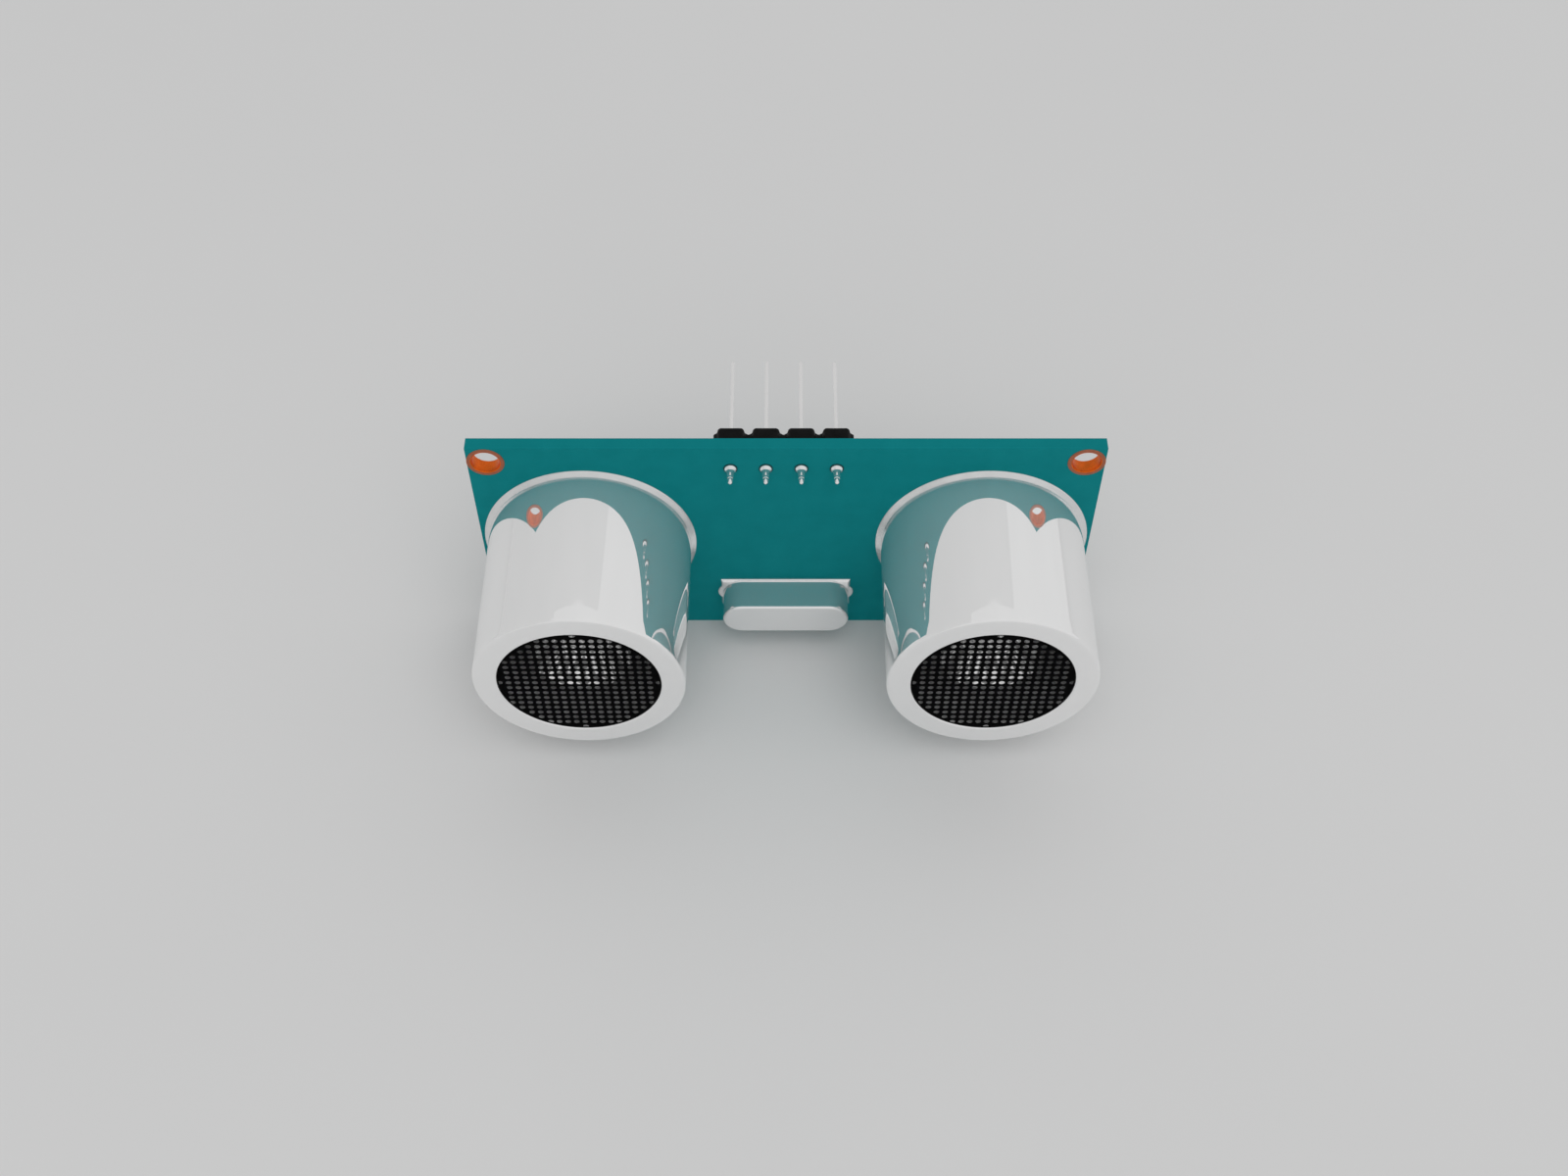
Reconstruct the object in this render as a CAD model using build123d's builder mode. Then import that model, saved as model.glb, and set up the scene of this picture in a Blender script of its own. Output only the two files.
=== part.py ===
from build123d import *
import math
import os

# ---------------------------------------------------------------------------
# Ultrasonic distance sensor module: two open transducers, a crystal and a
# straight four-way header on a small circuit board.
#
# Frame (mm): X along the board, +Y out of the board's back, +Z up along the
# board's height. The origin is the centre of the four mounting holes, on the
# board's front face. The transducers look along -Y.
# ---------------------------------------------------------------------------

# circuit board
board_w = 45.6          # along X
board_h = 20.4          # along Z
board_t = 1.0           # front face at Y = 0, back face at Y = board_t
copper_t = 0.05         # plated copper standing on either face

# mounting holes
mount_x = 21.46         # hole centres, each side of the origin
mount_z = 8.775
mount_r = 1.0           # free radius inside the plated barrel
mount_wall = 0.06       # thickness of the plated barrel
mount_ring_r = 1.33     # outer radius of the annular ring

# transducers
trans_x = 14.66         # axis, each side of the origin
trans_z = -0.05
can_r = 7.56
can_wall = 0.35         # drawn sheet, the same in the wall and in the rim
can_front = 13.1        # distance of the rim's front plane from the board
can_edge_r = 0.25       # outer edge of the rim
rim_open_r = 5.81
flange_r = 7.93         # base flange that the can stands on
flange_t = 0.30
flange_slope = 0.24      # the flange is bevelled almost down to the board
plug_r = can_r - can_wall - 0.05
plug_top = 2.40
pedestal_r = 4.70
pedestal_bore_r = 3.80
pedestal_top = 6.50
slot_w = 1.20           # wire slots in the pedestal
cushion_r = 4.70
cushion_bore_r = 3.80
cushion_top = 7.80
diaphragm_r = 4.40
diaphragm_t = 0.20
piezo_r = 3.60
piezo_t = 0.35
cone_rim_r = 3.60
cone_throat_r = 0.70
cone_top = 10.90
cone_wall = 0.16
term_z = 5.0            # terminals, above and below the transducer's axis
term_r = 0.35
term_inner = 3.40       # inner end, measured from the board's front
term_outer = 2.60       # outer end, Y of the tip behind the board
term_hole_r = 0.46
term_pad_r = 0.95
wire_r = 0.10

# grille
grille_pitch = 0.625
grille_hole = 0.43
grille_t = 0.05
grille_front = 13.02
grille_r = 5.77
brim_r = 6.38           # brim clamped behind the rim
brim_t = 0.22
grille_edge = 0.15      # plain ring round the grille's edge

# header
pin_pitch = 2.54
head_x = -0.176
head_z = 8.09
pin_w = 0.25            # along X
pin_h = 0.50            # along Z
pin_front = 1.45        # how far the tips stand out of the front
pin_back = 10.55        # Y of the rear tips
head_t = 1.78           # housing depth behind the board
pin_hole_r = 0.38
pin_pad_r = 0.50

# crystal
xtal_x = -0.02
xtal_z = -6.29
xtal_len = 9.64
xtal_h = 3.06
xtal_wall = 0.25
xtal_front = 2.84
xtal_edge_r = 0.18
xtal_plate_l = 10.02
xtal_plate_h = 3.08
xtal_plate_t = 0.27
xtal_plate_bevel = 0.16
lug_reach = 5.27        # half length over the lugs
lug_r = 0.90
lug_z = 0.08            # lugs sit a little above the can's centre line
lead_x = 2.44           # sealed leads, each side of the crystal's centre
lead_r = 0.20
seal_r = 0.50
lead_top = 0.90
tab_t = 0.12
tab_w = 0.70
blank_l = 7.20
blank_h = 1.80
blank_t = 0.12
blank_d = 1.44          # back face of the quartz blank, from the board

# small-outline chips on the back
chip_w = 3.90
chip_low = 0.15         # gap under the body
chip_high = 1.60
chip_mid = 0.85         # parting line, where the leads come out
chip_pitch = 1.27
chip_span = 6.00        # over the feet
lead_w = 0.41
lead_t = 0.20
foot_l = 0.55

# chip resistors and capacitors on the back
res_l, res_w, res_t = 1.60, 0.80, 0.45
cap_l, cap_w, cap_t = 1.60, 0.80, 0.80
end_l = 0.30

os.makedirs("parts", exist_ok=True)


def finish(piece, name):
    piece.part.label = name
    export_step(piece.part, "parts/" + name + ".step")
    print(name, len(piece.part.solids()), round(piece.part.volume, 4))


# A sketch on `front` is seen as the viewer sees the board: local x is world X,
# local y is world Z, and its normal points to -Y, towards the viewer.
def front(d):
    """Plane parallel to the board at distance d in front of its front face."""
    return Plane(origin=(0, -d, 0), x_dir=(1, 0, 0), z_dir=(0, -1, 0))


def side(x, y, z):
    """Plane through (x, y, z) with local x = world +Z and local y = world -Y."""
    return Plane(origin=(x, y, z), x_dir=(0, 0, 1), z_dir=(1, 0, 0))


pins_x = [head_x + (i - 1.5) * pin_pitch for i in range(4)]
trans_names = {"receiver": -trans_x, "transmitter": trans_x}
chips = {
    # name: (x, z, leads on each side, body length)
    "amplifier_chip": (-8.6, -1.6, 7, 8.65),
    "controller_chip": (0.0, -1.9, 7, 8.65),
    "driver_chip": (8.6, -1.6, 8, 9.90),
}
# (x, z, True when it lies along Z)
resistors = [
    (-4.3, 3.4, True), (-4.3, 0.8, True), (-4.3, -1.8, True),
    (4.3, 0.8, True), (4.3, -1.8, True),
    (13.7, 1.9, False), (13.7, 0.1, False), (-13.7, 1.9, False),
    (-13.7, 0.1, False), (-8.6, -8.5, False), (2.7, -8.5, False),
    (8.6, -8.5, False), (17.9, 3.0, False), (-18.0, -2.6, True),
]
capacitors = [
    (-4.3, -4.4, True), (4.3, 3.4, True), (4.3, -4.4, True),
    (13.7, -1.7, False), (-13.7, -1.7, False), (-5.6, -8.5, False),
    (-2.7, -8.5, False), (5.6, -8.5, False), (-18.0, 1.2, True),
    (17.9, -3.4, False),
]
sot_x, sot_z = 17.9, -0.2   # small transistor
mounts = [(sx * mount_x, sz * mount_z) for sx in (-1, 1) for sz in (-1, 1)]
terms = [(x, trans_z + s * term_z) for x in (-trans_x, trans_x) for s in (-1, 1)]

# ---------------------------------------------------------------------------
# Circuit board: a plain rectangle with sharp corners, drilled for the four
# mounting barrels, the four header pins and the four transducer terminals.
# ---------------------------------------------------------------------------
with BuildPart() as circuit_board:
    with BuildSketch(front(0)):
        Rectangle(board_w, board_h)
        with Locations(*mounts):
            Circle(mount_r + mount_wall, mode=Mode.SUBTRACT)
        with Locations(*[(x, head_z) for x in pins_x]):
            Circle(pin_hole_r, mode=Mode.SUBTRACT)
        with Locations(*terms):
            Circle(term_hole_r, mode=Mode.SUBTRACT)
    extrude(amount=-board_t)
finish(circuit_board, "circuit_board")

# Plated barrels of the mounting holes: a thin tube with an annular ring on
# each face of the board.
with BuildPart() as mounting_hole_barrels:
    with BuildSketch(front(copper_t)):
        with Locations(*mounts):
            Circle(mount_r + mount_wall)
            Circle(mount_r, mode=Mode.SUBTRACT)
    extrude(amount=-(board_t + 2 * copper_t))
    with BuildSketch(front(0)):
        with Locations(*mounts):
            Circle(mount_ring_r)
            Circle(mount_r, mode=Mode.SUBTRACT)
    extrude(amount=copper_t)
    with BuildSketch(front(-board_t)):
        with Locations(*mounts):
            Circle(mount_ring_r)
            Circle(mount_r, mode=Mode.SUBTRACT)
    extrude(amount=-copper_t)
finish(mounting_hole_barrels, "mounting_hole_barrels")

# ---------------------------------------------------------------------------
# Transducers: the same pieces twice, once on each side.
# ---------------------------------------------------------------------------
for name, tx in trans_names.items():
    cx, cz = tx, trans_z

    # Moulded base: a flange on the board, a plug inside the can and a slotted
    # pedestal that carries the sounding stack.
    with BuildPart() as base:
        with BuildSketch(side(cx, 0, cz)):
            with BuildLine():
                Polyline(
                    (0, 0), (flange_r, 0), (flange_r, flange_t), (plug_r, flange_t),
                    (plug_r, plug_top), (pedestal_r, plug_top),
                    (pedestal_r, pedestal_top), (pedestal_bore_r, pedestal_top),
                    (pedestal_bore_r, plug_top + 0.6), (0, plug_top + 0.6), close=True,
                )
            make_face()
        revolve(axis=Axis((cx, 0, cz), (0, -1, 0)))
        with BuildSketch(front(plug_top)):
            with Locations((cx, cz)):
                Rectangle(slot_w, 2 * pedestal_r + 1)
        extrude(amount=pedestal_top, mode=Mode.SUBTRACT)
        with BuildSketch(front(0)):
            with Locations((cx, cz - term_z), (cx, cz + term_z)):
                Circle(term_r)
        extrude(amount=pedestal_top, mode=Mode.SUBTRACT)
        flange_rim = base.edges().filter_by(GeomType.CIRCLE).group_by(
            SortBy.RADIUS)[-1].sort_by(Axis.Y)[0]
        chamfer(flange_rim, flange_slope)
    finish(base, name + "_base")

    # Drawn can: one sheet, straight in the wall and turned in to a flat rim
    # round the opening.
    roll_x = can_r - can_edge_r
    roll_y = can_front - can_edge_r
    lip = 0.10
    q = math.sqrt(0.5)
    with BuildPart() as can:
        with BuildSketch(side(cx, 0, cz)):
            with BuildLine():
                Line((can_r, flange_t), (can_r, roll_y))
                ThreePointArc(
                    (can_r, roll_y),
                    (roll_x + can_edge_r * q, roll_y + can_edge_r * q),
                    (roll_x, can_front))
                Line((roll_x, can_front), (rim_open_r + lip, can_front))
                ThreePointArc(
                    (rim_open_r + lip, can_front),
                    (rim_open_r + lip * (1 - q), can_front - lip * (1 - q)),
                    (rim_open_r, can_front - lip))
                Line((rim_open_r, can_front - lip), (rim_open_r, can_front - can_wall))
                Line((rim_open_r, can_front - can_wall),
                     (can_r - can_wall, can_front - can_wall))
                Line((can_r - can_wall, can_front - can_wall),
                     (can_r - can_wall, flange_t))
                Line((can_r - can_wall, flange_t), (can_r, flange_t))
            make_face()
        revolve(axis=Axis((cx, 0, cz), (0, -1, 0)))
    finish(can, name + "_can")

    # Grille: a flat disc with a square grid of holes, a thin plain ring round
    # it and a brim clamped behind the rim.
    cells = []
    half = grille_hole / 2
    clear_r = grille_r - grille_edge
    reach = int(grille_r / grille_pitch) + 1
    for i in range(-reach, reach + 1):
        for j in range(-reach, reach + 1):
            gx, gz = i * grille_pitch, j * grille_pitch
            if math.hypot(abs(gx) + half, abs(gz) + half) < clear_r:
                cells.append((cx + gx, cz + gz))
    with BuildPart() as grille:
        with BuildSketch(front(grille_front - grille_t)):
            with Locations((cx, cz)):
                Circle(grille_r)
            with Locations(*cells):
                Rectangle(grille_hole, grille_hole, mode=Mode.SUBTRACT)
        extrude(amount=grille_t)
        with BuildSketch(side(cx, 0, cz)):
            with BuildLine():
                Polyline(
                    (clear_r, grille_front - grille_t), (grille_r, grille_front - grille_t),
                    (grille_r, can_front - can_wall), (brim_r, can_front - can_wall),
                    (brim_r, can_front - can_wall - brim_t),
                    (clear_r, can_front - can_wall - brim_t), close=True)
            make_face()
        revolve(axis=Axis((cx, 0, cz), (0, -1, 0)))
    finish(grille, name + "_grille")

    # Silicone cushion ring between the pedestal and the diaphragm.
    with BuildPart() as cushion:
        with BuildSketch(side(cx, 0, cz)):
            with BuildLine():
                Polyline(
                    (cushion_bore_r, pedestal_top), (cushion_r, pedestal_top),
                    (cushion_r, cushion_top), (cushion_bore_r, cushion_top), close=True)
            make_face()
        revolve(axis=Axis((cx, 0, cz), (0, -1, 0)))
    finish(cushion, name + "_cushion_ring")

    # Metal diaphragm, and the piezo ceramic bonded to its back.
    with BuildPart() as diaphragm:
        with BuildSketch(front(cushion_top)):
            with Locations((cx, cz)):
                Circle(diaphragm_r)
        extrude(amount=diaphragm_t)
    finish(diaphragm, name + "_diaphragm")

    with BuildPart() as piezo:
        with BuildSketch(front(cushion_top)):
            with Locations((cx, cz)):
                Circle(piezo_r)
        extrude(amount=-piezo_t)
    finish(piezo, name + "_piezo_disc")

    # Horn cone: thin flared shell on a short stem, wide end to the grille.
    y0 = cushion_top + diaphragm_t
    stem = 0.45
    with BuildPart() as cone:
        with BuildSketch(side(cx, 0, cz)):
            with BuildLine():
                Line((0, y0), (cone_throat_r, y0))
                Line((cone_throat_r, y0), (cone_throat_r, y0 + stem))
                Spline(
                    (cone_throat_r, y0 + stem),
                    (cone_throat_r + 1.25, y0 + stem + 0.75),
                    (cone_rim_r, cone_top),
                    tangents=((0.75, 0.66), (0.86, 0.5)))
                Line((cone_rim_r, cone_top), (cone_rim_r - 0.08, cone_top + cone_wall))
                Spline(
                    (cone_rim_r - 0.08, cone_top + cone_wall),
                    (cone_throat_r + 1.17, y0 + stem + 0.75 + cone_wall),
                    (cone_throat_r - 0.15, y0 + stem + cone_wall),
                    tangents=((-0.86, -0.5), (-0.75, -0.66)))
                Line((cone_throat_r - 0.15, y0 + stem + cone_wall), (0, y0 + stem + 0.05))
                Line((0, y0 + stem + 0.05), (0, y0))
            make_face()
        revolve(axis=Axis((cx, 0, cz), (0, -1, 0)))
    finish(cone, name + "_horn_cone")

    # Cement bead round the cone's stem.
    with BuildPart() as bead:
        with BuildSketch(side(cx, 0, cz)):
            with BuildLine():
                Line((cone_throat_r, y0), (cone_throat_r + 0.45, y0))
                ThreePointArc(
                    (cone_throat_r + 0.45, y0), (cone_throat_r + 0.22, y0 + 0.11),
                    (cone_throat_r, y0 + 0.32))
                Line((cone_throat_r, y0 + 0.32), (cone_throat_r, y0))
            make_face()
        revolve(axis=Axis((cx, 0, cz), (0, -1, 0)))
    finish(bead, name + "_cone_cement")

    # Terminals: two round pins through the base and the board.
    with BuildPart() as terminals:
        with BuildSketch(front(term_inner)):
            with Locations((cx, cz - term_z), (cx, cz + term_z)):
                Circle(term_r)
        extrude(amount=-(term_inner + term_outer))
        chamfer(terminals.edges().filter_by(GeomType.CIRCLE).group_by(Axis.Y)[-1], 0.10)
    finish(terminals, name + "_terminals")

    # Lead wires: one to the diaphragm's front, one through the slot to the
    # ceramic's back.
    front_y = y0 + wire_r
    back_y = cushion_top - piezo_t
    with BuildPart() as wires:
        with BuildLine():
            FilletPolyline(
                (cx, -term_inner, cz + term_z), (cx, -front_y, cz + term_z),
                (cx, -front_y, cz + diaphragm_r - 0.9), radius=0.45)
        with BuildSketch(front(term_inner)):
            with Locations((cx, cz + term_z)):
                Circle(wire_r)
        sweep()
        with BuildLine():
            FilletPolyline(
                (cx, -term_inner, cz - term_z), (cx, -5.2, cz - term_z),
                (cx, -5.2, cz - 2.6), (cx, -back_y, cz - 2.6), radius=0.45)
        with BuildSketch(front(term_inner)):
            with Locations((cx, cz - term_z)):
                Circle(wire_r)
        sweep()
    finish(wires, name + "_lead_wires")

    # Solder joints on the back of the board, each running down its hole.
    with BuildPart() as joints:
        for sz in (-1, 1):
            zz = cz + sz * term_z
            with BuildSketch(side(cx, 0, zz)):
                with BuildLine():
                    Line((term_r, 0), (term_hole_r, 0))
                    Line((term_hole_r, 0), (term_hole_r, -board_t - copper_t))
                    Line((term_hole_r, -board_t - copper_t),
                         (term_pad_r - 0.05, -board_t - copper_t))
                    Spline(
                        (term_pad_r - 0.05, -board_t - copper_t),
                        (0.60, -board_t - 0.45), (term_r + 0.03, -board_t - 1.20),
                        tangents=((-0.55, -0.35), (-0.12, -1.0)))
                    Line((term_r + 0.03, -board_t - 1.20), (term_r, -board_t - 1.20))
                    Line((term_r, -board_t - 1.20), (term_r, 0))
                make_face()
            revolve(axis=Axis((cx, 0, zz), (0, -1, 0)))
    finish(joints, name + "_solder_joints")

# Copper pads round the four terminal holes, on the back face.
with BuildPart() as terminal_pads:
    with BuildSketch(front(-board_t)):
        with Locations(*terms):
            Circle(term_pad_r)
            Circle(term_hole_r, mode=Mode.SUBTRACT)
    extrude(amount=-copper_t)
finish(terminal_pads, "terminal_pads")

# ---------------------------------------------------------------------------
# Header: black housing behind the board, thin blade pins straight through it,
# soldered on the board's front.
# ---------------------------------------------------------------------------
with BuildPart() as header_housing:
    with BuildSketch(front(-board_t)):
        for px in pins_x:
            with BuildLine():
                Polyline(
                    (px - 1.27, head_z - 0.56), (px - 1.02, head_z - 0.74),
                    (px - 0.93, head_z - 1.12), (px - 0.78, head_z - 1.27),
                    (px + 0.78, head_z - 1.27), (px + 0.93, head_z - 1.12),
                    (px + 1.02, head_z - 0.74), (px + 1.27, head_z - 0.56),
                    (px + 1.27, head_z + 0.56), (px + 1.02, head_z + 0.74),
                    (px + 0.93, head_z + 1.12), (px + 0.78, head_z + 1.27),
                    (px - 0.78, head_z + 1.27), (px - 0.93, head_z + 1.12),
                    (px - 1.02, head_z + 0.74), (px - 1.27, head_z + 0.56), close=True)
            make_face()
        with Locations(*[(x, head_z) for x in pins_x]):
            Rectangle(pin_w, pin_h, mode=Mode.SUBTRACT)
    extrude(amount=-head_t)
    rear = header_housing.faces().sort_by(Axis.Y)[-1]
    chamfer(rear.outer_wire().edges(), 0.10)
finish(header_housing, "header_housing")

with BuildPart() as header_pins:
    with BuildSketch(front(pin_front)):
        with Locations(*[(x, head_z) for x in pins_x]):
            Rectangle(pin_w, pin_h)
    extrude(amount=-(pin_front + pin_back))
    chamfer(header_pins.faces().group_by(Axis.Y)[-1].edges(), 0.07)
    chamfer(header_pins.faces().group_by(Axis.Y)[0].edges(), 0.05)
finish(header_pins, "header_pins")

# Solder: a domed foot on the pad and a slender cone up the pin, filled down
# through the hole.
with BuildPart() as header_solder_joints:
    for px in pins_x:
        with BuildSketch(side(px, 0, head_z)):
            with BuildLine():
                Line((0, 1.05), (0, -board_t))
                Line((0, -board_t), (pin_hole_r, -board_t))
                Line((pin_hole_r, -board_t), (pin_hole_r, copper_t))
                Line((pin_hole_r, copper_t), (0.43, copper_t))
                Spline(
                    (0.43, copper_t), (0.385, 0.13), (0.300, 0.19),
                    (0.245, 0.55), (0.175, 1.0),
                    tangents=((0.02, 1.0), (-0.10, 1.0)))
                Line((0.175, 1.0), (0, 1.05))
            make_face()
        revolve(axis=Axis((px, 0, head_z), (0, -1, 0)))
    with BuildSketch(front(2.0)):
        with Locations(*[(x, head_z) for x in pins_x]):
            Rectangle(pin_w, pin_h)
    extrude(amount=-4.0, mode=Mode.SUBTRACT)
finish(header_solder_joints, "header_solder_joints")

with BuildPart() as header_pads:
    for d, t in ((0, copper_t),):
        with BuildSketch(front(d)):
            with Locations(*[(x, head_z) for x in pins_x]):
                Circle(pin_pad_r)
                Circle(pin_hole_r, mode=Mode.SUBTRACT)
        extrude(amount=t)
finish(header_pads, "header_pads")

# ---------------------------------------------------------------------------
# Crystal: a drawn can with rounded ends on a thin rectangular base plate,
# flat on the board's front, with a soldered lug at each end.
# ---------------------------------------------------------------------------
with BuildPart() as crystal_can:
    with BuildSketch(front(xtal_plate_t)):
        with Locations((xtal_x, xtal_z)):
            SlotOverall(xtal_len, xtal_h)
    extrude(amount=xtal_front - xtal_plate_t)
    fillet(crystal_can.faces().sort_by(Axis.Y)[0].outer_wire().edges(), xtal_edge_r)
    with BuildSketch(front(xtal_plate_t)):
        with Locations((xtal_x, xtal_z)):
            SlotOverall(xtal_len - 2 * xtal_wall, xtal_h - 2 * xtal_wall)
    extrude(amount=xtal_front - xtal_plate_t - xtal_wall, mode=Mode.SUBTRACT)
finish(crystal_can, "crystal_can")

with BuildPart() as crystal_base_plate:
    with BuildSketch(front(0)):
        with Locations((xtal_x, xtal_z)):
            Rectangle(xtal_plate_l, xtal_plate_h)
    extrude(amount=xtal_plate_t)
    chamfer(crystal_base_plate.faces().sort_by(Axis.Y)[0].edges(), xtal_plate_bevel)
    with BuildSketch(front(0)):
        with Locations((xtal_x - lead_x, xtal_z), (xtal_x + lead_x, xtal_z)):
            Circle(seal_r)
    extrude(amount=xtal_plate_t, mode=Mode.SUBTRACT)
    with BuildSketch(front(0)):
        for s in (-1, 1):
            with Locations((xtal_x + s * (lead_x + 1.5), xtal_z)):
                Rectangle(3.6, tab_w)
    extrude(amount=tab_t, mode=Mode.SUBTRACT)
finish(crystal_base_plate, "crystal_base_plate")

# Leads: a round post through each glass seal, and a flat tab that runs in the
# plate's groove out to a rounded lug.
with BuildPart() as crystal_leads:
    with BuildSketch(front(0)):
        for s in (-1, 1):
            with Locations((xtal_x + s * (lead_x - 0.30 + lug_reach - 0.10) / 2, xtal_z)):
                Rectangle(lug_reach - 0.10 - lead_x + 0.30, tab_w - 0.04)
    extrude(amount=tab_t)
    with BuildSketch(front(tab_t)):
        with Locations((xtal_x - lead_x, xtal_z), (xtal_x + lead_x, xtal_z)):
            Circle(lead_r)
    extrude(amount=lead_top - tab_t)
finish(crystal_leads, "crystal_leads")

with BuildPart() as crystal_glass_seals:
    with BuildSketch(front(tab_t)):
        with Locations((xtal_x - lead_x, xtal_z), (xtal_x + lead_x, xtal_z)):
            Circle(seal_r)
            Circle(lead_r, mode=Mode.SUBTRACT)
    extrude(amount=xtal_plate_t + 0.10 - tab_t)
finish(crystal_glass_seals, "crystal_glass_seals")

# Lug fillets: rounded solder over the end of each tab, against the plate's end.
with BuildPart() as crystal_solder_lugs:
    with BuildSketch(front(0)):
        for s in (-1, 1):
            with Locations((xtal_x + s * (lug_reach - lug_r), xtal_z + lug_z)):
                Circle(lug_r)
        with Locations((xtal_x, xtal_z)):
            Rectangle(xtal_plate_l, 4 * lug_r, mode=Mode.SUBTRACT)
    extrude(amount=0.24)
    lug_edges = crystal_solder_lugs.faces().filter_by(Plane.XZ).group_by(Axis.Y)[0]
    fillet(lug_edges.edges().filter_by(GeomType.CIRCLE), 0.12)
    with BuildSketch(front(0)):
        for s in (-1, 1):
            with Locations((xtal_x + s * (lead_x - 0.30 + lug_reach - 0.10) / 2, xtal_z)):
                Rectangle(lug_reach - 0.10 - lead_x + 0.30, tab_w - 0.04)
    extrude(amount=tab_t, mode=Mode.SUBTRACT)
finish(crystal_solder_lugs, "crystal_solder_lugs")

with BuildPart() as crystal_mount_springs:
    for s in (-1, 1):
        with BuildSketch(Plane(origin=(xtal_x, 0, xtal_z - 0.35), x_dir=(1, 0, 0),
                               z_dir=(0, 0, 1))):
            with BuildLine():
                Polyline(
                    (s * 2.10, -lead_top), (s * 2.75, -lead_top),
                    (s * 3.20, -blank_d + 0.10), (s * 3.60, -blank_d + 0.10),
                    (s * 3.60, -blank_d), (s * 3.15, -blank_d),
                    (s * 2.70, -lead_top - 0.10), (s * 2.10, -lead_top - 0.10),
                    close=True)
            make_face()
        extrude(amount=0.70)
finish(crystal_mount_springs, "crystal_mount_springs")

with BuildPart() as crystal_quartz_blank:
    with BuildSketch(front(blank_d)):
        with Locations((xtal_x, xtal_z)):
            Rectangle(blank_l, blank_h)
    extrude(amount=blank_t)
finish(crystal_quartz_blank, "crystal_quartz_blank")

with BuildPart() as crystal_electrodes:
    with BuildSketch(front(blank_d + blank_t)):
        with Locations((xtal_x, xtal_z)):
            Rectangle(3.6, 1.3)
    extrude(amount=0.03)
    with BuildSketch(front(blank_d - 0.03)):
        with Locations((xtal_x, xtal_z)):
            Rectangle(3.6, 1.3)
    extrude(amount=0.03)
finish(crystal_electrodes, "crystal_electrodes")

# ---------------------------------------------------------------------------
# Back of the board: three small-outline chips, a transistor, and chip
# resistors and capacitors.
# ---------------------------------------------------------------------------
for name, (cx, cz, count, length) in chips.items():
    with BuildPart() as body:
        with BuildSketch(front(-board_t - chip_mid)):
            with Locations((cx, cz)):
                Rectangle(chip_w, length)
        extrude(amount=-(chip_high - chip_mid), taper=7)
        with BuildSketch(front(-board_t - chip_mid)):
            with Locations((cx, cz)):
                Rectangle(chip_w, length)
        extrude(amount=chip_mid - chip_low, taper=7)
        # bevel along one long side and a round dimple at lead one
        top = body.faces().sort_by(Axis.Y)[-1]
        chamfer(top.edges().filter_by(Axis.Z).sort_by(Axis.X)[-1], 0.28)
        with BuildSketch(front(-board_t - chip_high)):
            with Locations((cx + chip_w / 2 - 1.0, cz + length / 2 - 1.0)):
                Circle(0.38)
        extrude(amount=0.08, mode=Mode.SUBTRACT)
    finish(body, name)

    with BuildPart() as leads:
        z_low = cz - (count - 1) / 2 * chip_pitch
        for s in (-1, 1):
            for i in range(count):
                with BuildSketch(Plane(
                        origin=(cx, board_t, z_low + i * chip_pitch - lead_w / 2),
                        x_dir=(1, 0, 0), z_dir=(0, 0, 1))):
                    with BuildLine():
                        Polyline(
                            (s * chip_w / 2, chip_mid + lead_t / 2),
                            (s * (chip_w / 2 + 0.32), chip_mid + lead_t / 2),
                            (s * (chip_span / 2 - foot_l + 0.10), copper_t + lead_t),
                            (s * chip_span / 2, copper_t + lead_t),
                            (s * chip_span / 2, copper_t),
                            (s * (chip_span / 2 - foot_l - 0.05), copper_t),
                            (s * (chip_w / 2 + 0.18), chip_mid - lead_t / 2),
                            (s * chip_w / 2, chip_mid - lead_t / 2), close=True)
                    make_face()
                extrude(amount=lead_w)
    finish(leads, name + "_leads")

with BuildPart() as transistor:
    with BuildSketch(front(-board_t - 0.60)):
        with Locations((sot_x, sot_z)):
            Rectangle(2.90, 1.30)
    extrude(amount=-0.45, taper=7)
    with BuildSketch(front(-board_t - 0.60)):
        with Locations((sot_x, sot_z)):
            Rectangle(2.90, 1.30)
    extrude(amount=0.50, taper=7)
finish(transistor, "transistor")

with BuildPart() as transistor_leads:
    for lx, s in ((-0.95, -1), (0.95, -1), (0.0, 1)):
        with BuildSketch(Plane(origin=(sot_x + lx - 0.20, board_t, sot_z),
                               x_dir=(0, 0, 1), z_dir=(1, 0, 0))):
            with BuildLine():
                Polyline(
                    (s * 0.65, -0.65), (s * 0.80, -0.65), (s * 0.95, -copper_t - 0.12),
                    (s * 1.25, -copper_t - 0.12), (s * 1.25, -copper_t),
                    (s * 0.86, -copper_t), (s * 0.70, -0.53), (s * 0.65, -0.53),
                    close=True)
            make_face()
        extrude(amount=0.40)
finish(transistor_leads, "transistor_leads")


for name, places, (l, w, t) in (
        ("chip_resistors", resistors, (res_l, res_w, res_t)),
        ("chip_capacitors", capacitors, (cap_l, cap_w, cap_t))):
    d = -board_t - copper_t
    with BuildPart() as bodies:
        with BuildSketch(front(d)):
            for x, z, upright in places:
                with Locations((x, z)):
                    if upright:
                        Rectangle(w, l - 2 * end_l)
                    else:
                        Rectangle(l - 2 * end_l, w)
        extrude(amount=-t)
    finish(bodies, name)

    with BuildPart() as ends:
        with BuildSketch(front(d)):
            for x, z, upright in places:
                for s in (-1, 1):
                    off = s * (l - end_l) / 2
                    if upright:
                        with Locations((x, z + off)):
                            Rectangle(w, end_l)
                    else:
                        with Locations((x + off, z)):
                            Rectangle(end_l, w)
        extrude(amount=-(t + 0.03))
        fillet(ends.edges().filter_by(Axis.Y), 0.05)
    finish(ends, name[:-1] + "_ends")

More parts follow.
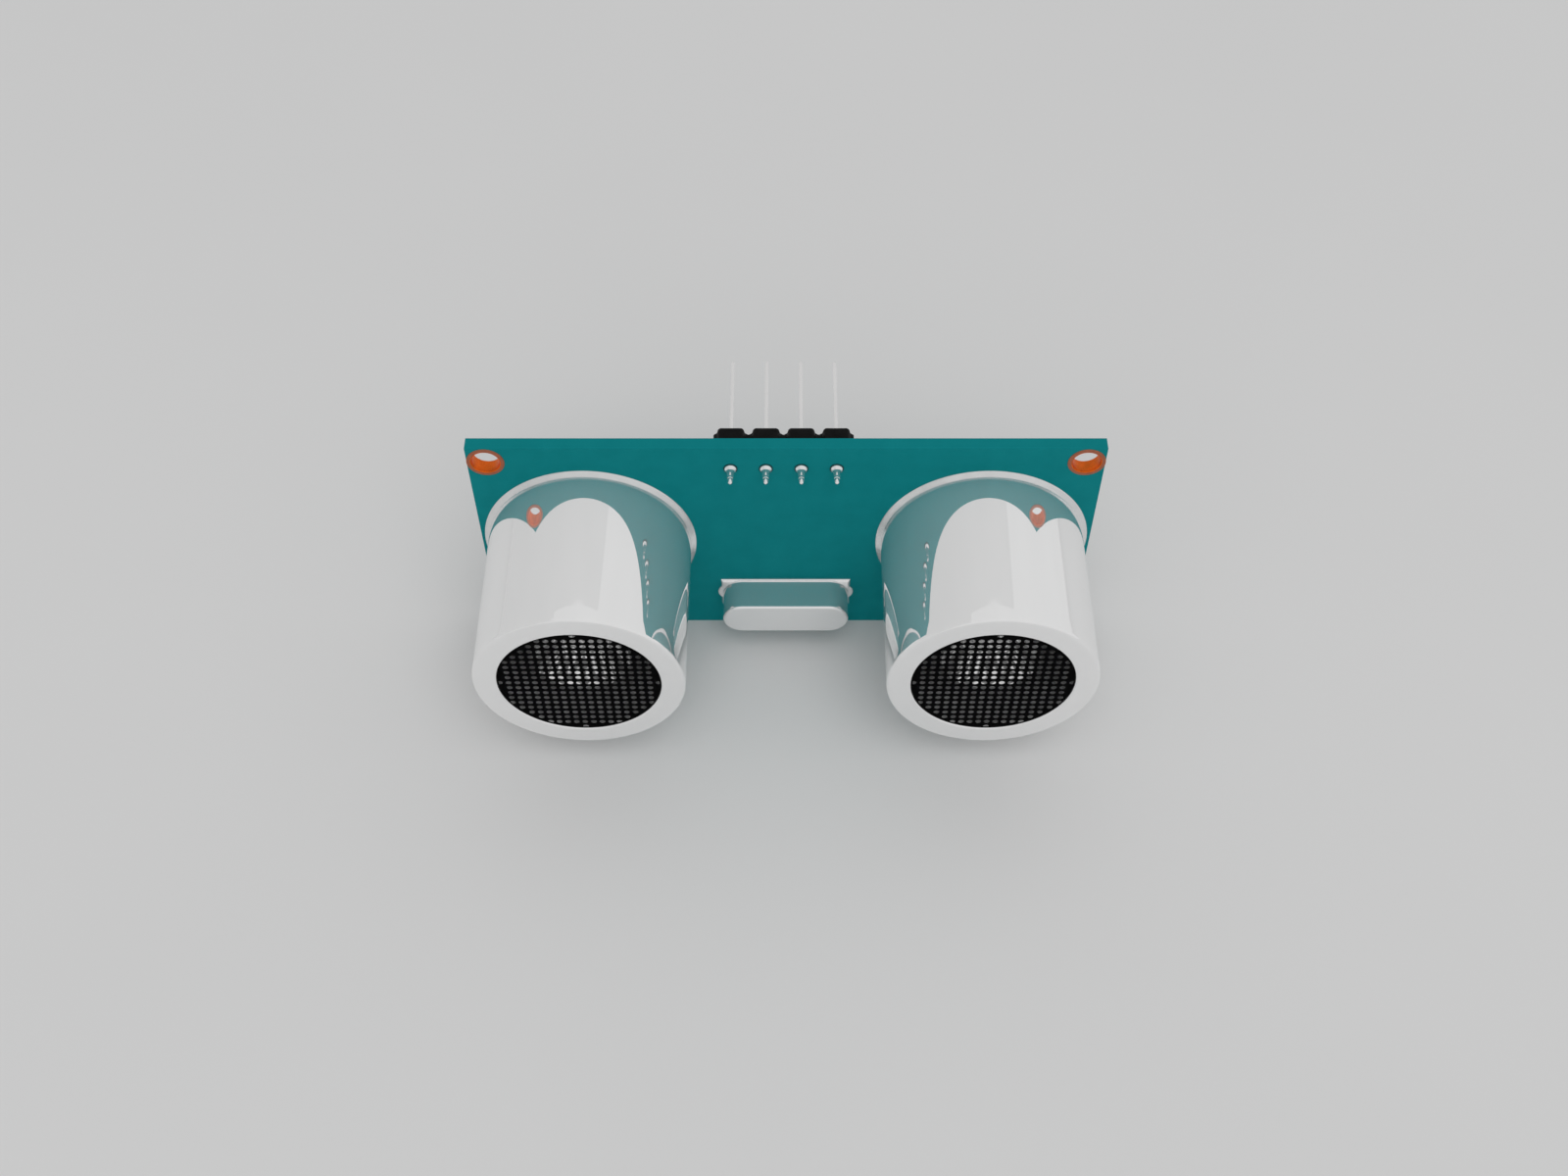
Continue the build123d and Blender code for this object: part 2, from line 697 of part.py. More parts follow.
# Copper pads under the small parts.
with BuildPart() as surface_pads:
    with BuildSketch(front(-board_t)):
        for cx, cz, count, length in chips.values():
            z_low = cz - (count - 1) / 2 * chip_pitch
            for s in (-1, 1):
                for i in range(count):
                    with Locations((cx + s * (chip_span / 2 - 0.15), z_low + i * chip_pitch)):
                        Rectangle(1.30, 0.62)
        for x, z, upright in resistors + capacitors:
            for s in (-1, 1):
                off = s * 0.78
                if upright:
                    with Locations((x, z + off)):
                        Rectangle(0.92, 0.78)
                else:
                    with Locations((x + off, z)):
                        Rectangle(0.78, 0.92)
        for lx, s in ((-0.95, -1), (0.95, -1), (0.0, 1)):
            with Locations((sot_x + lx, sot_z + s * 1.13)):
                Rectangle(0.62, 0.66)
    extrude(amount=-copper_t)
finish(surface_pads, "surface_pads")
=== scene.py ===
import math

import bmesh
import bpy
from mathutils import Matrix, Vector
from mathutils.geometry import delaunay_2d_cdt


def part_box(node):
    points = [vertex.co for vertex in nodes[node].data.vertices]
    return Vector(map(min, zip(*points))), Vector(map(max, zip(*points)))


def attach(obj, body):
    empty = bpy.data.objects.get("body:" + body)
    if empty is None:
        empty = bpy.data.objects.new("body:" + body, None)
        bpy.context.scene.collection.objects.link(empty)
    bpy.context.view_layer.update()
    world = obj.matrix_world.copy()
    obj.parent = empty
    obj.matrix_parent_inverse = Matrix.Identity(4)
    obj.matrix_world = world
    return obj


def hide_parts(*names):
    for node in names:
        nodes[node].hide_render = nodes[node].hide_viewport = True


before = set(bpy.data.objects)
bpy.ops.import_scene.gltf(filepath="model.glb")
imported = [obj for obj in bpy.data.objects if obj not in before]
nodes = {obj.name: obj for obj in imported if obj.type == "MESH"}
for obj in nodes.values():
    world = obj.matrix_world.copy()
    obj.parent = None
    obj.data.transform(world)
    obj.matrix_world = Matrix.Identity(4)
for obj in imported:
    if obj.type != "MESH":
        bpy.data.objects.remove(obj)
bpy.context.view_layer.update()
scene = bpy.context.scene
MM = 0.001
TAU = 2 * math.pi


def low(node):
    return [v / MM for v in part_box(node)[0]]


def high(node):
    return [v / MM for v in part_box(node)[1]]


def centre(node):
    a, b = low(node), high(node)
    return [(p + q) / 2 for p, q in zip(a, b)]


# ---------------------------------------------------------------------------
# Materials. Texture space is the object's own space, scaled to millimetres.
# ---------------------------------------------------------------------------
def _start(name):
    m = bpy.data.materials.new(name)
    m.use_nodes = True
    nt = m.node_tree
    nt.nodes.clear()
    out = nt.nodes.new("ShaderNodeOutputMaterial")
    bsdf = nt.nodes.new("ShaderNodeBsdfPrincipled")
    nt.links.new(bsdf.outputs["BSDF"], out.inputs["Surface"])
    tc = nt.nodes.new("ShaderNodeTexCoord")
    mp = nt.nodes.new("ShaderNodeMapping")
    mp.inputs["Scale"].default_value = (1000, 1000, 1000)
    nt.links.new(tc.outputs["Object"], mp.inputs["Vector"])
    return m, nt, bsdf, mp.outputs["Vector"]


def _noise(nt, vector, scale, detail=3.0, rough=0.55, stretch=None):
    if stretch:
        st = nt.nodes.new("ShaderNodeMapping")
        st.inputs["Scale"].default_value = stretch
        nt.links.new(vector, st.inputs["Vector"])
        vector = st.outputs["Vector"]
    n = nt.nodes.new("ShaderNodeTexNoise")
    n.inputs["Scale"].default_value = scale
    n.inputs["Detail"].default_value = detail
    n.inputs["Roughness"].default_value = rough
    nt.links.new(vector, n.inputs["Vector"])
    return n.outputs["Fac"]


def _range(nt, value, a, b, lo=0.3, hi=0.7):
    r = nt.nodes.new("ShaderNodeMapRange")
    r.inputs["From Min"].default_value = lo
    r.inputs["From Max"].default_value = hi
    r.inputs["To Min"].default_value = a
    r.inputs["To Max"].default_value = b
    nt.links.new(value, r.inputs["Value"])
    return r.outputs["Result"]


def _mix(nt, fac, a, b):
    x = nt.nodes.new("ShaderNodeMix")
    x.data_type = "RGBA"
    for sock, val in (("A", a), ("B", b)):
        s = [i for i in x.inputs if i.name == sock and i.type == "RGBA"][0]
        if isinstance(val, tuple):
            s.default_value = (val[0], val[1], val[2], 1)
        else:
            nt.links.new(val, s)
    f = [i for i in x.inputs if i.name == "Factor" and i.type == "VALUE"][0]
    if isinstance(fac, (int, float)):
        f.default_value = fac
    else:
        nt.links.new(fac, f)
    return [o for o in x.outputs if o.type == "RGBA"][0]


def surface(name, a, b, scale=1.0, rough=(0.3, 0.4), rscale=2.0, bump=0.0, bscale=8.0,
            metal=0.0, spec=0.5, coat=0.0, coat_rough=0.1, stretch=None, detail=3.0,
            grain=None, tint=None, transmission=0.0, ior=1.45, bstretch=None):
    """Two colours mixed by noise, a noisy roughness and a fine bump. grain=(colour,
    scale, share) speckles a third colour over them; tint=(colour, scale, share)
    lays broad blotches."""
    m, nt, bsdf, v = _start(name)
    colour = _mix(nt, _range(nt, _noise(nt, v, scale, detail, stretch=stretch), 0, 1), a, b)
    if tint:
        colour = _mix(nt, _range(nt, _noise(nt, v, tint[1], 2.0), 0, tint[2], 0.42, 0.68),
                      colour, tint[0])
    if grain:
        colour = _mix(nt, _range(nt, _noise(nt, v, grain[1], 1.0), 0, grain[2], 0.56, 0.66),
                      colour, grain[0])
    nt.links.new(colour, bsdf.inputs["Base Color"])
    nt.links.new(_range(nt, _noise(nt, v, rscale, 3.0, stretch=stretch), rough[0], rough[1]),
                 bsdf.inputs["Roughness"])
    if bump:
        bp = nt.nodes.new("ShaderNodeBump")
        bp.inputs["Strength"].default_value = 1.0
        bp.inputs["Distance"].default_value = bump * MM
        nt.links.new(_noise(nt, v, bscale, 2.0, stretch=bstretch or stretch), bp.inputs["Height"])
        nt.links.new(bp.outputs["Normal"], bsdf.inputs["Normal"])
    bsdf.inputs["Metallic"].default_value = metal
    bsdf.inputs["Specular IOR Level"].default_value = spec
    bsdf.inputs["IOR"].default_value = ior
    bsdf.inputs["Coat Weight"].default_value = coat
    bsdf.inputs["Coat Roughness"].default_value = coat_rough
    bsdf.inputs["Transmission Weight"].default_value = transmission
    return m


M = {}
M["mask"] = surface("solder_mask_teal", (0.0022, 0.222, 0.240), (0.0038, 0.245, 0.264),
                    scale=0.55, rough=(0.42, 0.56), rscale=3.0, bump=0.0012, bscale=16.0,
                    spec=0.06, grain=((0.0010, 0.190, 0.212), 22.0, 0.5))
# the routed edge of the board is a shade darker than its faces
def darken_edges(m, colour, share):
    nt = m.node_tree
    bsdf = [n for n in nt.nodes if n.type == "BSDF_PRINCIPLED"][0]
    src = bsdf.inputs["Base Color"].links[0].from_socket
    geo = nt.nodes.new("ShaderNodeNewGeometry")
    sep = nt.nodes.new("ShaderNodeSeparateXYZ")
    nt.links.new(geo.outputs["True Normal"], sep.inputs["Vector"])
    ab = nt.nodes.new("ShaderNodeMath")
    ab.operation = "ABSOLUTE"
    nt.links.new(sep.outputs["Y"], ab.inputs[0])
    fac = _range(nt, ab.outputs[0], share, 0.0, 0.2, 0.6)
    nt.links.new(_mix(nt, fac, src, colour), bsdf.inputs["Base Color"])


darken_edges(M["mask"], (0.0012, 0.150, 0.165), 0.30)
M["trace"] = surface("solder_mask_over_copper", (0.004, 0.290, 0.300), (0.008, 0.330, 0.336),
                     scale=0.8, rough=(0.34, 0.46), rscale=3.0, bump=0.0015, bscale=14.0,
                     spec=0.22, grain=((0.002, 0.240, 0.262), 20.0, 0.4))
M["copper"] = surface("bare_copper", (0.90, 0.160, 0.014), (0.80, 0.140, 0.012),
                      scale=2.2, rough=(0.24, 0.40), rscale=5.0, bump=0.002, bscale=14.0,
                      metal=0.85, spec=0.4, tint=((0.55, 0.125, 0.012), 1.1, 0.60))
M["ring"] = surface("copper_ring_dulled", (0.46, 0.150, 0.080), (0.38, 0.130, 0.074),
                    scale=2.6, rough=(0.34, 0.5), rscale=5.0, bump=0.003, bscale=12.0,
                    metal=0.55, spec=0.3)
M["can"] = surface("drawn_aluminium", (0.975, 0.977, 0.978), (0.992, 0.993, 0.994),
                   scale=0.9, rough=(0.018, 0.042), rscale=3.0, bump=0.00012, bscale=5.0,
                   metal=0.815, spec=0.5, stretch=(1, 0.18, 1))
M["can_in"] = surface("aluminium_inside", (0.86, 0.86, 0.86), (0.92, 0.92, 0.92),
                      scale=2.0, rough=(0.40, 0.55), rscale=4.0, bump=0.0010, bscale=6.0,
                      metal=0.35, stretch=(1, 0.2, 1))
M["grille"] = surface("grille_black", (0.0008, 0.0008, 0.0009), (0.0018, 0.0018, 0.0020),
                      scale=3.0, rough=(0.55, 0.75), rscale=9.0, bump=0.002, bscale=22.0,
                      spec=0.02)
M["grille_in"] = surface("grille_unpainted", (0.62, 0.62, 0.62), (0.70, 0.70, 0.70), scale=3.0,
                         rough=(0.35, 0.50), rscale=9.0, bump=0.001, bscale=20.0, metal=0.4)
M["base"] = surface("base_metallised_grey", (0.80, 0.81, 0.81), (0.845, 0.855, 0.855), scale=1.2,
                    rough=(0.14, 0.24), rscale=4.0, bump=0.0006, bscale=9.0, metal=0.82,
                    spec=0.5)
M["inner"] = surface("inner_resin_pale", (0.66, 0.66, 0.65), (0.74, 0.74, 0.73), scale=1.2,
                     rough=(0.5, 0.6), rscale=4.0, bump=0.003, bscale=10.0, spec=0.25)
M["silicone"] = surface("silicone_grey", (0.34, 0.34, 0.345), (0.42, 0.42, 0.425), scale=1.5,
                        rough=(0.55, 0.7), rscale=5.0, bump=0.004, bscale=8.0, spec=0.3)
M["cone"] = surface("horn_aluminium", (0.95, 0.95, 0.95), (0.985, 0.985, 0.985), scale=1.6,
                    rough=(0.04, 0.09), rscale=4.0, bump=0.0004, bscale=6.0, metal=0.90,
                    spec=0.5)
M["diaphragm"] = surface("diaphragm_metal", (0.60, 0.60, 0.61), (0.68, 0.68, 0.69), scale=1.0,
                         rough=(0.3, 0.45), rscale=5.0, bump=0.002, bscale=9.0, metal=0.5)
M["ceramic"] = surface("piezo_ceramic", (0.42, 0.38, 0.30), (0.50, 0.46, 0.37), scale=2.0,
                       rough=(0.5, 0.65), rscale=6.0, bump=0.003, bscale=14.0)
M["cement"] = surface("cement_cream", (0.58, 0.54, 0.44), (0.68, 0.64, 0.54), scale=2.4,
                      rough=(0.35, 0.5), rscale=5.0, bump=0.008, bscale=5.0)
M["tin"] = surface("tinned_metal", (0.80, 0.80, 0.79), (0.90, 0.90, 0.89), scale=1.8,
                   rough=(0.14, 0.28), rscale=4.0, bump=0.0010, bscale=9.0, metal=0.95,
                   stretch=(1, 0.2, 1))
M["pin"] = surface("pin_tin_plate", (0.955, 0.955, 0.950), (0.985, 0.985, 0.980), scale=1.4,
                   rough=(0.05, 0.10), rscale=4.0, bump=0.0, metal=0.89,
                   stretch=(1, 0.15, 1))
M["solder"] = surface("solder_bright", (0.93, 0.94, 0.94), (0.98, 0.985, 0.985), scale=2.5,
                      rough=(0.03, 0.08), rscale=4.0, bump=0.0005, bscale=4.0, metal=0.90)
M["wire"] = surface("wire_enamel", (0.30, 0.045, 0.02), (0.40, 0.06, 0.03), scale=3.0,
                    rough=(0.3, 0.4), rscale=6.0, bump=0.001, bscale=14.0)
M["header"] = surface("header_black", (0.0040, 0.0042, 0.0042), (0.0068, 0.0070, 0.0070),
                      scale=1.3, rough=(0.45, 0.60), rscale=5.0, bump=0.003, bscale=14.0,
                      spec=0.07, grain=((0.010, 0.010, 0.0105), 20.0, 0.4))
M["xtal"] = surface("crystal_can_metal", (0.965, 0.968, 0.970), (0.988, 0.989, 0.990), scale=0.9,
                    rough=(0.035, 0.075), rscale=3.0, bump=0.00012, bscale=5.0, metal=0.84,
                    stretch=(1, 0.25, 1))
M["plate"] = surface("crystal_plate_metal", (0.94, 0.94, 0.94), (0.98, 0.98, 0.98), scale=1.6,
                     rough=(0.08, 0.16), rscale=4.0, bump=0.0004, bscale=6.0, metal=0.86)
M["glass"] = surface("seal_glass", (0.05, 0.06, 0.10), (0.08, 0.10, 0.14), scale=3.0,
                     rough=(0.1, 0.2), rscale=6.0, bump=0.001, bscale=10.0)
M["quartz"] = surface("quartz_plate", (0.78, 0.82, 0.84), (0.84, 0.88, 0.90), scale=1.0,
                      rough=(0.1, 0.2), rscale=5.0, bump=0.0005, bscale=10.0, transmission=0.6)
M["silver"] = surface("silver_electrode", (0.86, 0.84, 0.80), (0.93, 0.91, 0.87), scale=2.0,
                      rough=(0.15, 0.3), rscale=5.0, bump=0.0008, bscale=10.0, metal=0.95)
M["epoxy"] = surface("chip_epoxy", (0.011, 0.011, 0.012), (0.020, 0.020, 0.021), scale=1.6,
                     rough=(0.45, 0.62), rscale=5.0, bump=0.0035, bscale=18.0, spec=0.3,
                     grain=((0.045, 0.045, 0.047), 24.0, 0.45))
M["resistor"] = surface("resistor_glaze", (0.010, 0.010, 0.012), (0.020, 0.020, 0.023),
                        scale=3.0, rough=(0.2, 0.32), rscale=6.0, bump=0.003, bscale=9.0)
M["alumina"] = surface("alumina_white", (0.74, 0.73, 0.70), (0.82, 0.81, 0.78), scale=3.0,
                       rough=(0.5, 0.62), rscale=6.0, bump=0.002, bscale=16.0)
M["capacitor"] = surface("capacitor_tan", (0.36, 0.235, 0.125), (0.45, 0.30, 0.165), scale=3.0,
                         rough=(0.38, 0.5), rscale=6.0, bump=0.0025, bscale=12.0,
                         grain=((0.27, 0.165, 0.080), 18.0, 0.5))
M["pad"] = surface("tinned_pad", (0.74, 0.75, 0.74), (0.86, 0.86, 0.85), scale=2.5,
                   rough=(0.22, 0.36), rscale=5.0, bump=0.003, bscale=5.0, metal=0.93)
# painted shade: the header pads are coloured dark so that each header joint has a dark shaded ring round its
# base
M["pad_dark"] = surface("pad_painted_shade_ring", (0.008, 0.040, 0.044), (0.014, 0.058, 0.062), scale=4.0,
                        rough=(0.4, 0.55), rscale=6.0, bump=0.002, bscale=8.0, metal=0.5)
M["ink"] = surface("outline_ink", (0.70, 0.72, 0.71), (0.78, 0.80, 0.79), scale=4.0,
                   rough=(0.5, 0.6), rscale=6.0, bump=0.002, bscale=14.0, spec=0.3)
M["floor"] = surface("studio_floor", (0.713, 0.714, 0.714), (0.724, 0.725, 0.725), scale=0.02,
                     rough=(0.95, 1.0), rscale=0.05, bump=0.0, spec=0.0)


def even_out(m):
    nt = m.node_tree
    bsdf = [n for n in nt.nodes if n.type == "BSDF_PRINCIPLED"][0]
    tc = [n for n in nt.nodes if n.type == "TEX_COORD"][0]
    ln = nt.nodes.new("ShaderNodeVectorMath")
    ln.operation = "LENGTH"
    nt.links.new(tc.outputs["Object"], ln.inputs[0])
    bsdf.inputs["Emission Color"].default_value = (1, 1, 1, 1)
    nt.links.new(_range(nt, ln.outputs["Value"], 0.0, 0.150, 0.45, 2.2),
                 bsdf.inputs["Emission Strength"])


even_out(M["floor"])


# ---------------------------------------------------------------------------
# Mesh tools. All sizes are in millimetres; d is the distance in front of the
# board's front face, so Y = -d.
# ---------------------------------------------------------------------------
def emit(name, bm, mats, replaces=(), angle=32, bevel=None, weld=True, stage=False):
    if weld:
        bmesh.ops.remove_doubles(bm, verts=bm.verts, dist=1e-5)
    bmesh.ops.recalc_face_normals(bm, faces=bm.faces)
    bmesh.ops.scale(bm, vec=(MM, MM, MM), verts=bm.verts)
    me = bpy.data.meshes.new(name)
    bm.to_mesh(me)
    bm.free()
    me.shade_smooth()
    me.set_sharp_from_angle(angle=math.radians(angle))
    ob = bpy.data.objects.new(name, me)
    scene.collection.objects.link(ob)
    for m in mats if isinstance(mats, (list, tuple)) else [mats]:
        me.materials.append(m)
    if bevel:
        md = ob.modifiers.new("edge", "BEVEL")
        md.width = bevel[0] * MM
        md.segments = bevel[1]
        md.limit_method = "ANGLE"
        md.angle_limit = math.radians(bevel[2] if len(bevel) > 2 else 30)
        md.harden_normals = True
        md.miter_outer = "MITER_ARC"
    if stage:
        return ob
    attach(ob, "root")
    if replaces:
        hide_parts(*replaces)
    return ob


def arc(cx, cy, r, a0, a1, n):
    """Points on an arc in profile space, angles in degrees."""
    return [(cx + r * math.cos(math.radians(a0 + (a1 - a0) * i / n)),
             cy + r * math.sin(math.radians(a0 + (a1 - a0) * i / n))) for i in range(n + 1)]


def curve(points, n=10):
    """Catmull-Rom curve through profile points."""
    out = []
    p = [points[0]] + list(points) + [points[-1]]
    for i in range(1, len(p) - 2):
        a, b, c, d = p[i - 1], p[i], p[i + 1], p[i + 2]
        for k in range(n):
            t = k / n
            out.append(tuple(
                0.5 * (2 * b[j] + (c[j] - a[j]) * t + (2 * a[j] - 5 * b[j] + 4 * c[j] - d[j]) * t * t
                       + (3 * b[j] - a[j] - 3 * c[j] + d[j]) * t ** 3) for j in (0, 1)))
    out.append(tuple(points[-1]))
    return out


def lathe(bm, profile, cx, cz, n=128, closed=True, mat=None):
    """Revolves profile points (r, d) about the line X = cx, Z = cz."""
    rings = []
    for r, d in profile:
        if r < 1e-6:
            rings.append([bm.verts.new((cx, -d, cz))])
        else:
            rings.append([bm.verts.new((cx + r * math.cos(TAU * k / n), -d,
                                        cz + r * math.sin(TAU * k / n))) for k in range(n)])
    pairs = list(zip(range(len(rings)), range(1, len(rings))))
    if closed:
        pairs.append((len(rings) - 1, 0))
    for i, (a, b) in enumerate(pairs):
        ra, rb = rings[a], rings[b]
        for k in range(n):
            k2 = (k + 1) % n
            if len(ra) == 1 and len(rb) == 1:
                break
            if len(ra) == 1:
                f = bm.faces.new((ra[0], rb[k], rb[k2]))
            elif len(rb) == 1:
                f = bm.faces.new((ra[k], rb[0], ra[k2]))
            else:
                f = bm.faces.new((ra[k], rb[k], rb[k2], ra[k2]))
            if mat:
                f.material_index = mat(i)
    return bm


def loft(bm, sections, mat=0):
    """Joins loops of 3-D points, capped at both ends."""
    loops = [[bm.verts.new(p) for p in s] for s in sections]
    n = len(loops[0])
    for a, b in zip(loops, loops[1:]):
        for k in range(n):
            f = bm.faces.new((a[k], a[(k + 1) % n], b[(k + 1) % n], b[k]))
            f.material_index = mat
    for end in (loops[0], loops[-1]):
        bm.faces.new(end).material_index = mat
    return bm


def rrect(hw, hh, r, n=4):
    """Rounded rectangle about the origin, as points (x, z)."""
    r = min(r, hw * 0.999, hh * 0.999)
    pts = []
    for sx, sz, a in ((1, 1, 0), (-1, 1, 90), (-1, -1, 180), (1, -1, 270)):
        pts += arc(sx * (hw - r), sz * (hh - r), r, a, a + 90, n)
    return pts


def block(bm, cx, cz, d0, d1, hw, hh, r=0.06, edge=0.04, taper=0.0, n=3, mat=0, both=True):
    """Rounded block between depths d0 and d1 with rolled upper edges."""
    s = 1 if d1 > d0 else -1
    steps = []
    if both:
        for k in range(n + 1):
            a = math.radians(90 * k / n)
            steps.append((d0 + s * edge * (1 - math.sin(a)) if k else d0 + s * edge * 1.0, 0.0))
        steps = [(d0 + s * edge * (1 - math.cos(math.radians(90 * k / n))),
                  edge * (1 - math.sin(math.radians(90 * k / n)))) for k in range(n + 1)]
    else:
        steps = [(d0, 0.0)]
    top = [(d1 - s * edge * (1 - math.sin(math.radians(90 * k / n))),
            edge * (1 - math.cos(math.radians(90 * k / n)))) for k in range(n + 1)]
    steps += top
    span = abs(d1 - d0)
    secs = []
    for d, inset in steps:
        t = taper * abs(d - d0) / span
        pts = rrect(hw - inset - t, hh - inset - t, max(r - inset * 0.5, 0.01), n)
        secs.append([(cx + x, -d, cz + z) for x, z in pts])
    return loft(bm, secs, mat)


def flat_face(bm, loops, y, mat=0):
    """Fills a planar region, the first loop outside and the others holes, at depth
    y, and returns the vertices of each loop."""
    pts, faces, start = [], [], []
    for lp in loops:
        start.append(len(pts))
        faces.append(list(range(len(pts), len(pts) + len(lp))))
        pts += [Vector((p[0], p[1])) for p in lp]
    got = delaunay_2d_cdt(pts, [], faces, 1, 1e-7)
    verts, tris, inside = got[0], got[2], got[5]
    vs = [bm.verts.new((v.x, y, v.y)) for v in verts]
    for t, own in zip(tris, inside):
        if any(i > 0 for i in own):
            continue
        if 0 not in own:
            continue
        bm.faces.new([vs[i] for i in t]).material_index = mat
    back = {}
    for i, src in enumerate(got[3]):
        for s in src:
            back[s] = vs[i]
    return [[back[start[k] + i] for i in range(len(lp))] for k, lp in enumerate(loops)]


def inset_loop(lp, amount):
    """Moves a loop's points along their normals: positive grows an anticlockwise
    loop."""
    n = len(lp)
    out = []
    for i in range(n):
        a, b, c = lp[i - 1], lp[i], lp[(i + 1) % n]
        t1 = Vector((b[0] - a[0], b[1] - a[1]))
        t2 = Vector((c[0] - b[0], c[1] - b[1]))
        if t1.length > 1e-9:
            t1.normalize()
        if t2.length > 1e-9:
            t2.normalize()
        t = t1 + t2
        if t.length < 1e-9:
            t = t1
        t.normalize()
        nrm = Vector((t.y, -t.x))
        cosh = max(0.5, nrm.dot(Vector((t1.y, -t1.x))))
        out.append((b[0] + nrm.x * amount / cosh, b[1] + nrm.y * amount / cosh))
    return out


def plate(bm, outer, holes, d_back, d_front, edge=0.03, n=2, mat=0):
    """A plate with holes right through it and rounded edges on both faces. Loops
    run anticlockwise in (x, z)."""
    s = 1 if d_front > d_back else -1

    def ring(loops, d, inset):
        return [[(p[0], -d, p[1]) for p in (inset_loop(lp, -inset if k == 0 else inset)
                                            if inset else lp)] for k, lp in enumerate(loops)]
    loops = [outer] + list(holes)
    levels = [(d_front - s * edge * (1 - math.sin(math.radians(90 * k / n))),
               edge * (1 - math.cos(math.radians(90 * k / n)))) for k in range(n + 1)]
    levels = levels[::-1] + [(d_back + s * edge * (1 - math.sin(math.radians(90 * k / n))),
                              edge * (1 - math.cos(math.radians(90 * k / n))))
                             for k in range(n + 1)]
    top = [inset_loop(lp, -edge if k == 0 else edge) for k, lp in enumerate(loops)]
    tv = flat_face(bm, top, -d_front, mat)
    bv = flat_face(bm, top, -d_back, mat)
    prev = tv
    for li, (d, inset) in enumerate(levels):
        if li == 0:
            continue
        if li == len(levels) - 1:
            cur = bv
        else:
            cur = [[bm.verts.new(p) for p in lp] for lp in ring(loops, d, inset)]
        for a, b in zip(prev, cur):
            m = len(a)
            for k in range(m):
                bm.faces.new((a[k], a[(k + 1) % m], b[(k + 1) % m], b[k])).material_index = mat
        prev = cur
    return bm


def circle(cx, cz, r, n):
    return [(cx + r * math.cos(TAU * k / n), cz + r * math.sin(TAU * k / n)) for k in range(n)]


# ---------------------------------------------------------------------------
# Camera, floor and light.
# ---------------------------------------------------------------------------
cam_data = bpy.data.cameras.new("camera")
cam_data.sensor_width = 36.0
cam_data.lens = 40.89
cam_data.clip_start = 0.004
cam_data.clip_end = 20.0
cam = bpy.data.objects.new("camera", cam_data)
cam.location = (-0.000183, -0.084462, 0.104154)
cam.rotation_euler = (math.radians(37.486), math.radians(-0.0125), math.radians(-0.0093))
scene.collection.objects.link(cam)
scene.camera = cam
scene.view_settings.view_transform = "Standard"
scene.view_settings.look = "None"
scene.view_settings.exposure = 0.0
scene.view_settings.gamma = 1.0

board_lo, board_hi = low("circuit_board"), high("circuit_board")
floor_z = board_lo[2]
bm = bmesh.new()
bmesh.ops.create_grid(bm, x_segments=40, y_segments=40, size=6000.0)
bmesh.ops.translate(bm, vec=(0, 0, floor_z), verts=bm.verts)
emit("studio_floor", bm, M["floor"], stage=True)

world = bpy.data.worlds.new("studio")
scene.world = world
world.use_nodes = True
wn = world.node_tree
wn.nodes.clear()
wo = wn.nodes.new("ShaderNodeOutputWorld")
bg = wn.nodes.new("ShaderNodeBackground")
bg.inputs["Color"].default_value = (1.0, 1.0, 1.0, 1.0)
wn.links.new(bg.outputs["Background"], wo.inputs["Surface"])
wt = wn.nodes.new("ShaderNodeTexCoord")
ws = wn.nodes.new("ShaderNodeSeparateXYZ")
wn.links.new(wt.outputs["Generated"], ws.inputs["Vector"])


def wmath(op, a, b=None, c=None):
    n = wn.nodes.new("ShaderNodeMath")
    n.operation = op
    for i, val in enumerate((a, b, c)):
        if val is None:
            continue
        if isinstance(val, (int, float)):
            n.inputs[i].default_value = val
        else:
            wn.links.new(val, n.inputs[i])
    return n.outputs[0]


def wstep(value, a, b):
    r = wn.nodes.new("ShaderNodeMapRange")
    r.interpolation_type = "SMOOTHSTEP"
    r.inputs["From Min"].default_value = a
    r.inputs["From Max"].default_value = b
    wn.links.new(value, r.inputs["Value"])
    return r.outputs["Result"]


dx, dy, dz = ws.outputs["X"], ws.outputs["Y"], ws.outputs["Z"]
# a wide soft panel on the right, one overhead, and one in front
right = wstep(wmath("SUBTRACT", dx, wmath("MULTIPLY", dy, 0.49)), -0.006, 0.012)
zx = wstep(wmath("SUBTRACT", wmath("MULTIPLY", dz, 0.46), wmath("ABSOLUTE", dx)), -0.003, 0.003)
zy = wstep(wmath("SUBTRACT", wmath("MULTIPLY", dz, 0.748), dy), -0.003, 0.003)
panels = wmath("MAXIMUM", right, wmath("MULTIPLY", zx, zy))
panels = wmath("MULTIPLY", panels, wstep(dz, -0.02, 0.02))
base = wmath("ADD", wmath("MULTIPLY", wstep(dx, -0.75, 0.25), 0.030), 0.560)
wn.links.new(wmath("ADD", wmath("MULTIPLY", panels, 0.070), base), bg.inputs["Strength"])


def area(name, loc, target, size, power, colour=(1, 1, 1)):
    d = bpy.data.lights.new(name, "AREA")
    d.shape = "RECTANGLE"
    d.size, d.size_y = size
    d.energy = power
    d.color = colour
    o = bpy.data.objects.new(name, d)
    o.location = loc
    o.rotation_euler = (Vector(target) - Vector(loc)).to_track_quat("-Z", "Y").to_euler()
    scene.collection.objects.link(o)
    return o


key = area("key_soft", (0.15, -0.55, 1.0), (0, 0, 0), (0.9, 0.9), 3.4)
key.visible_glossy = False

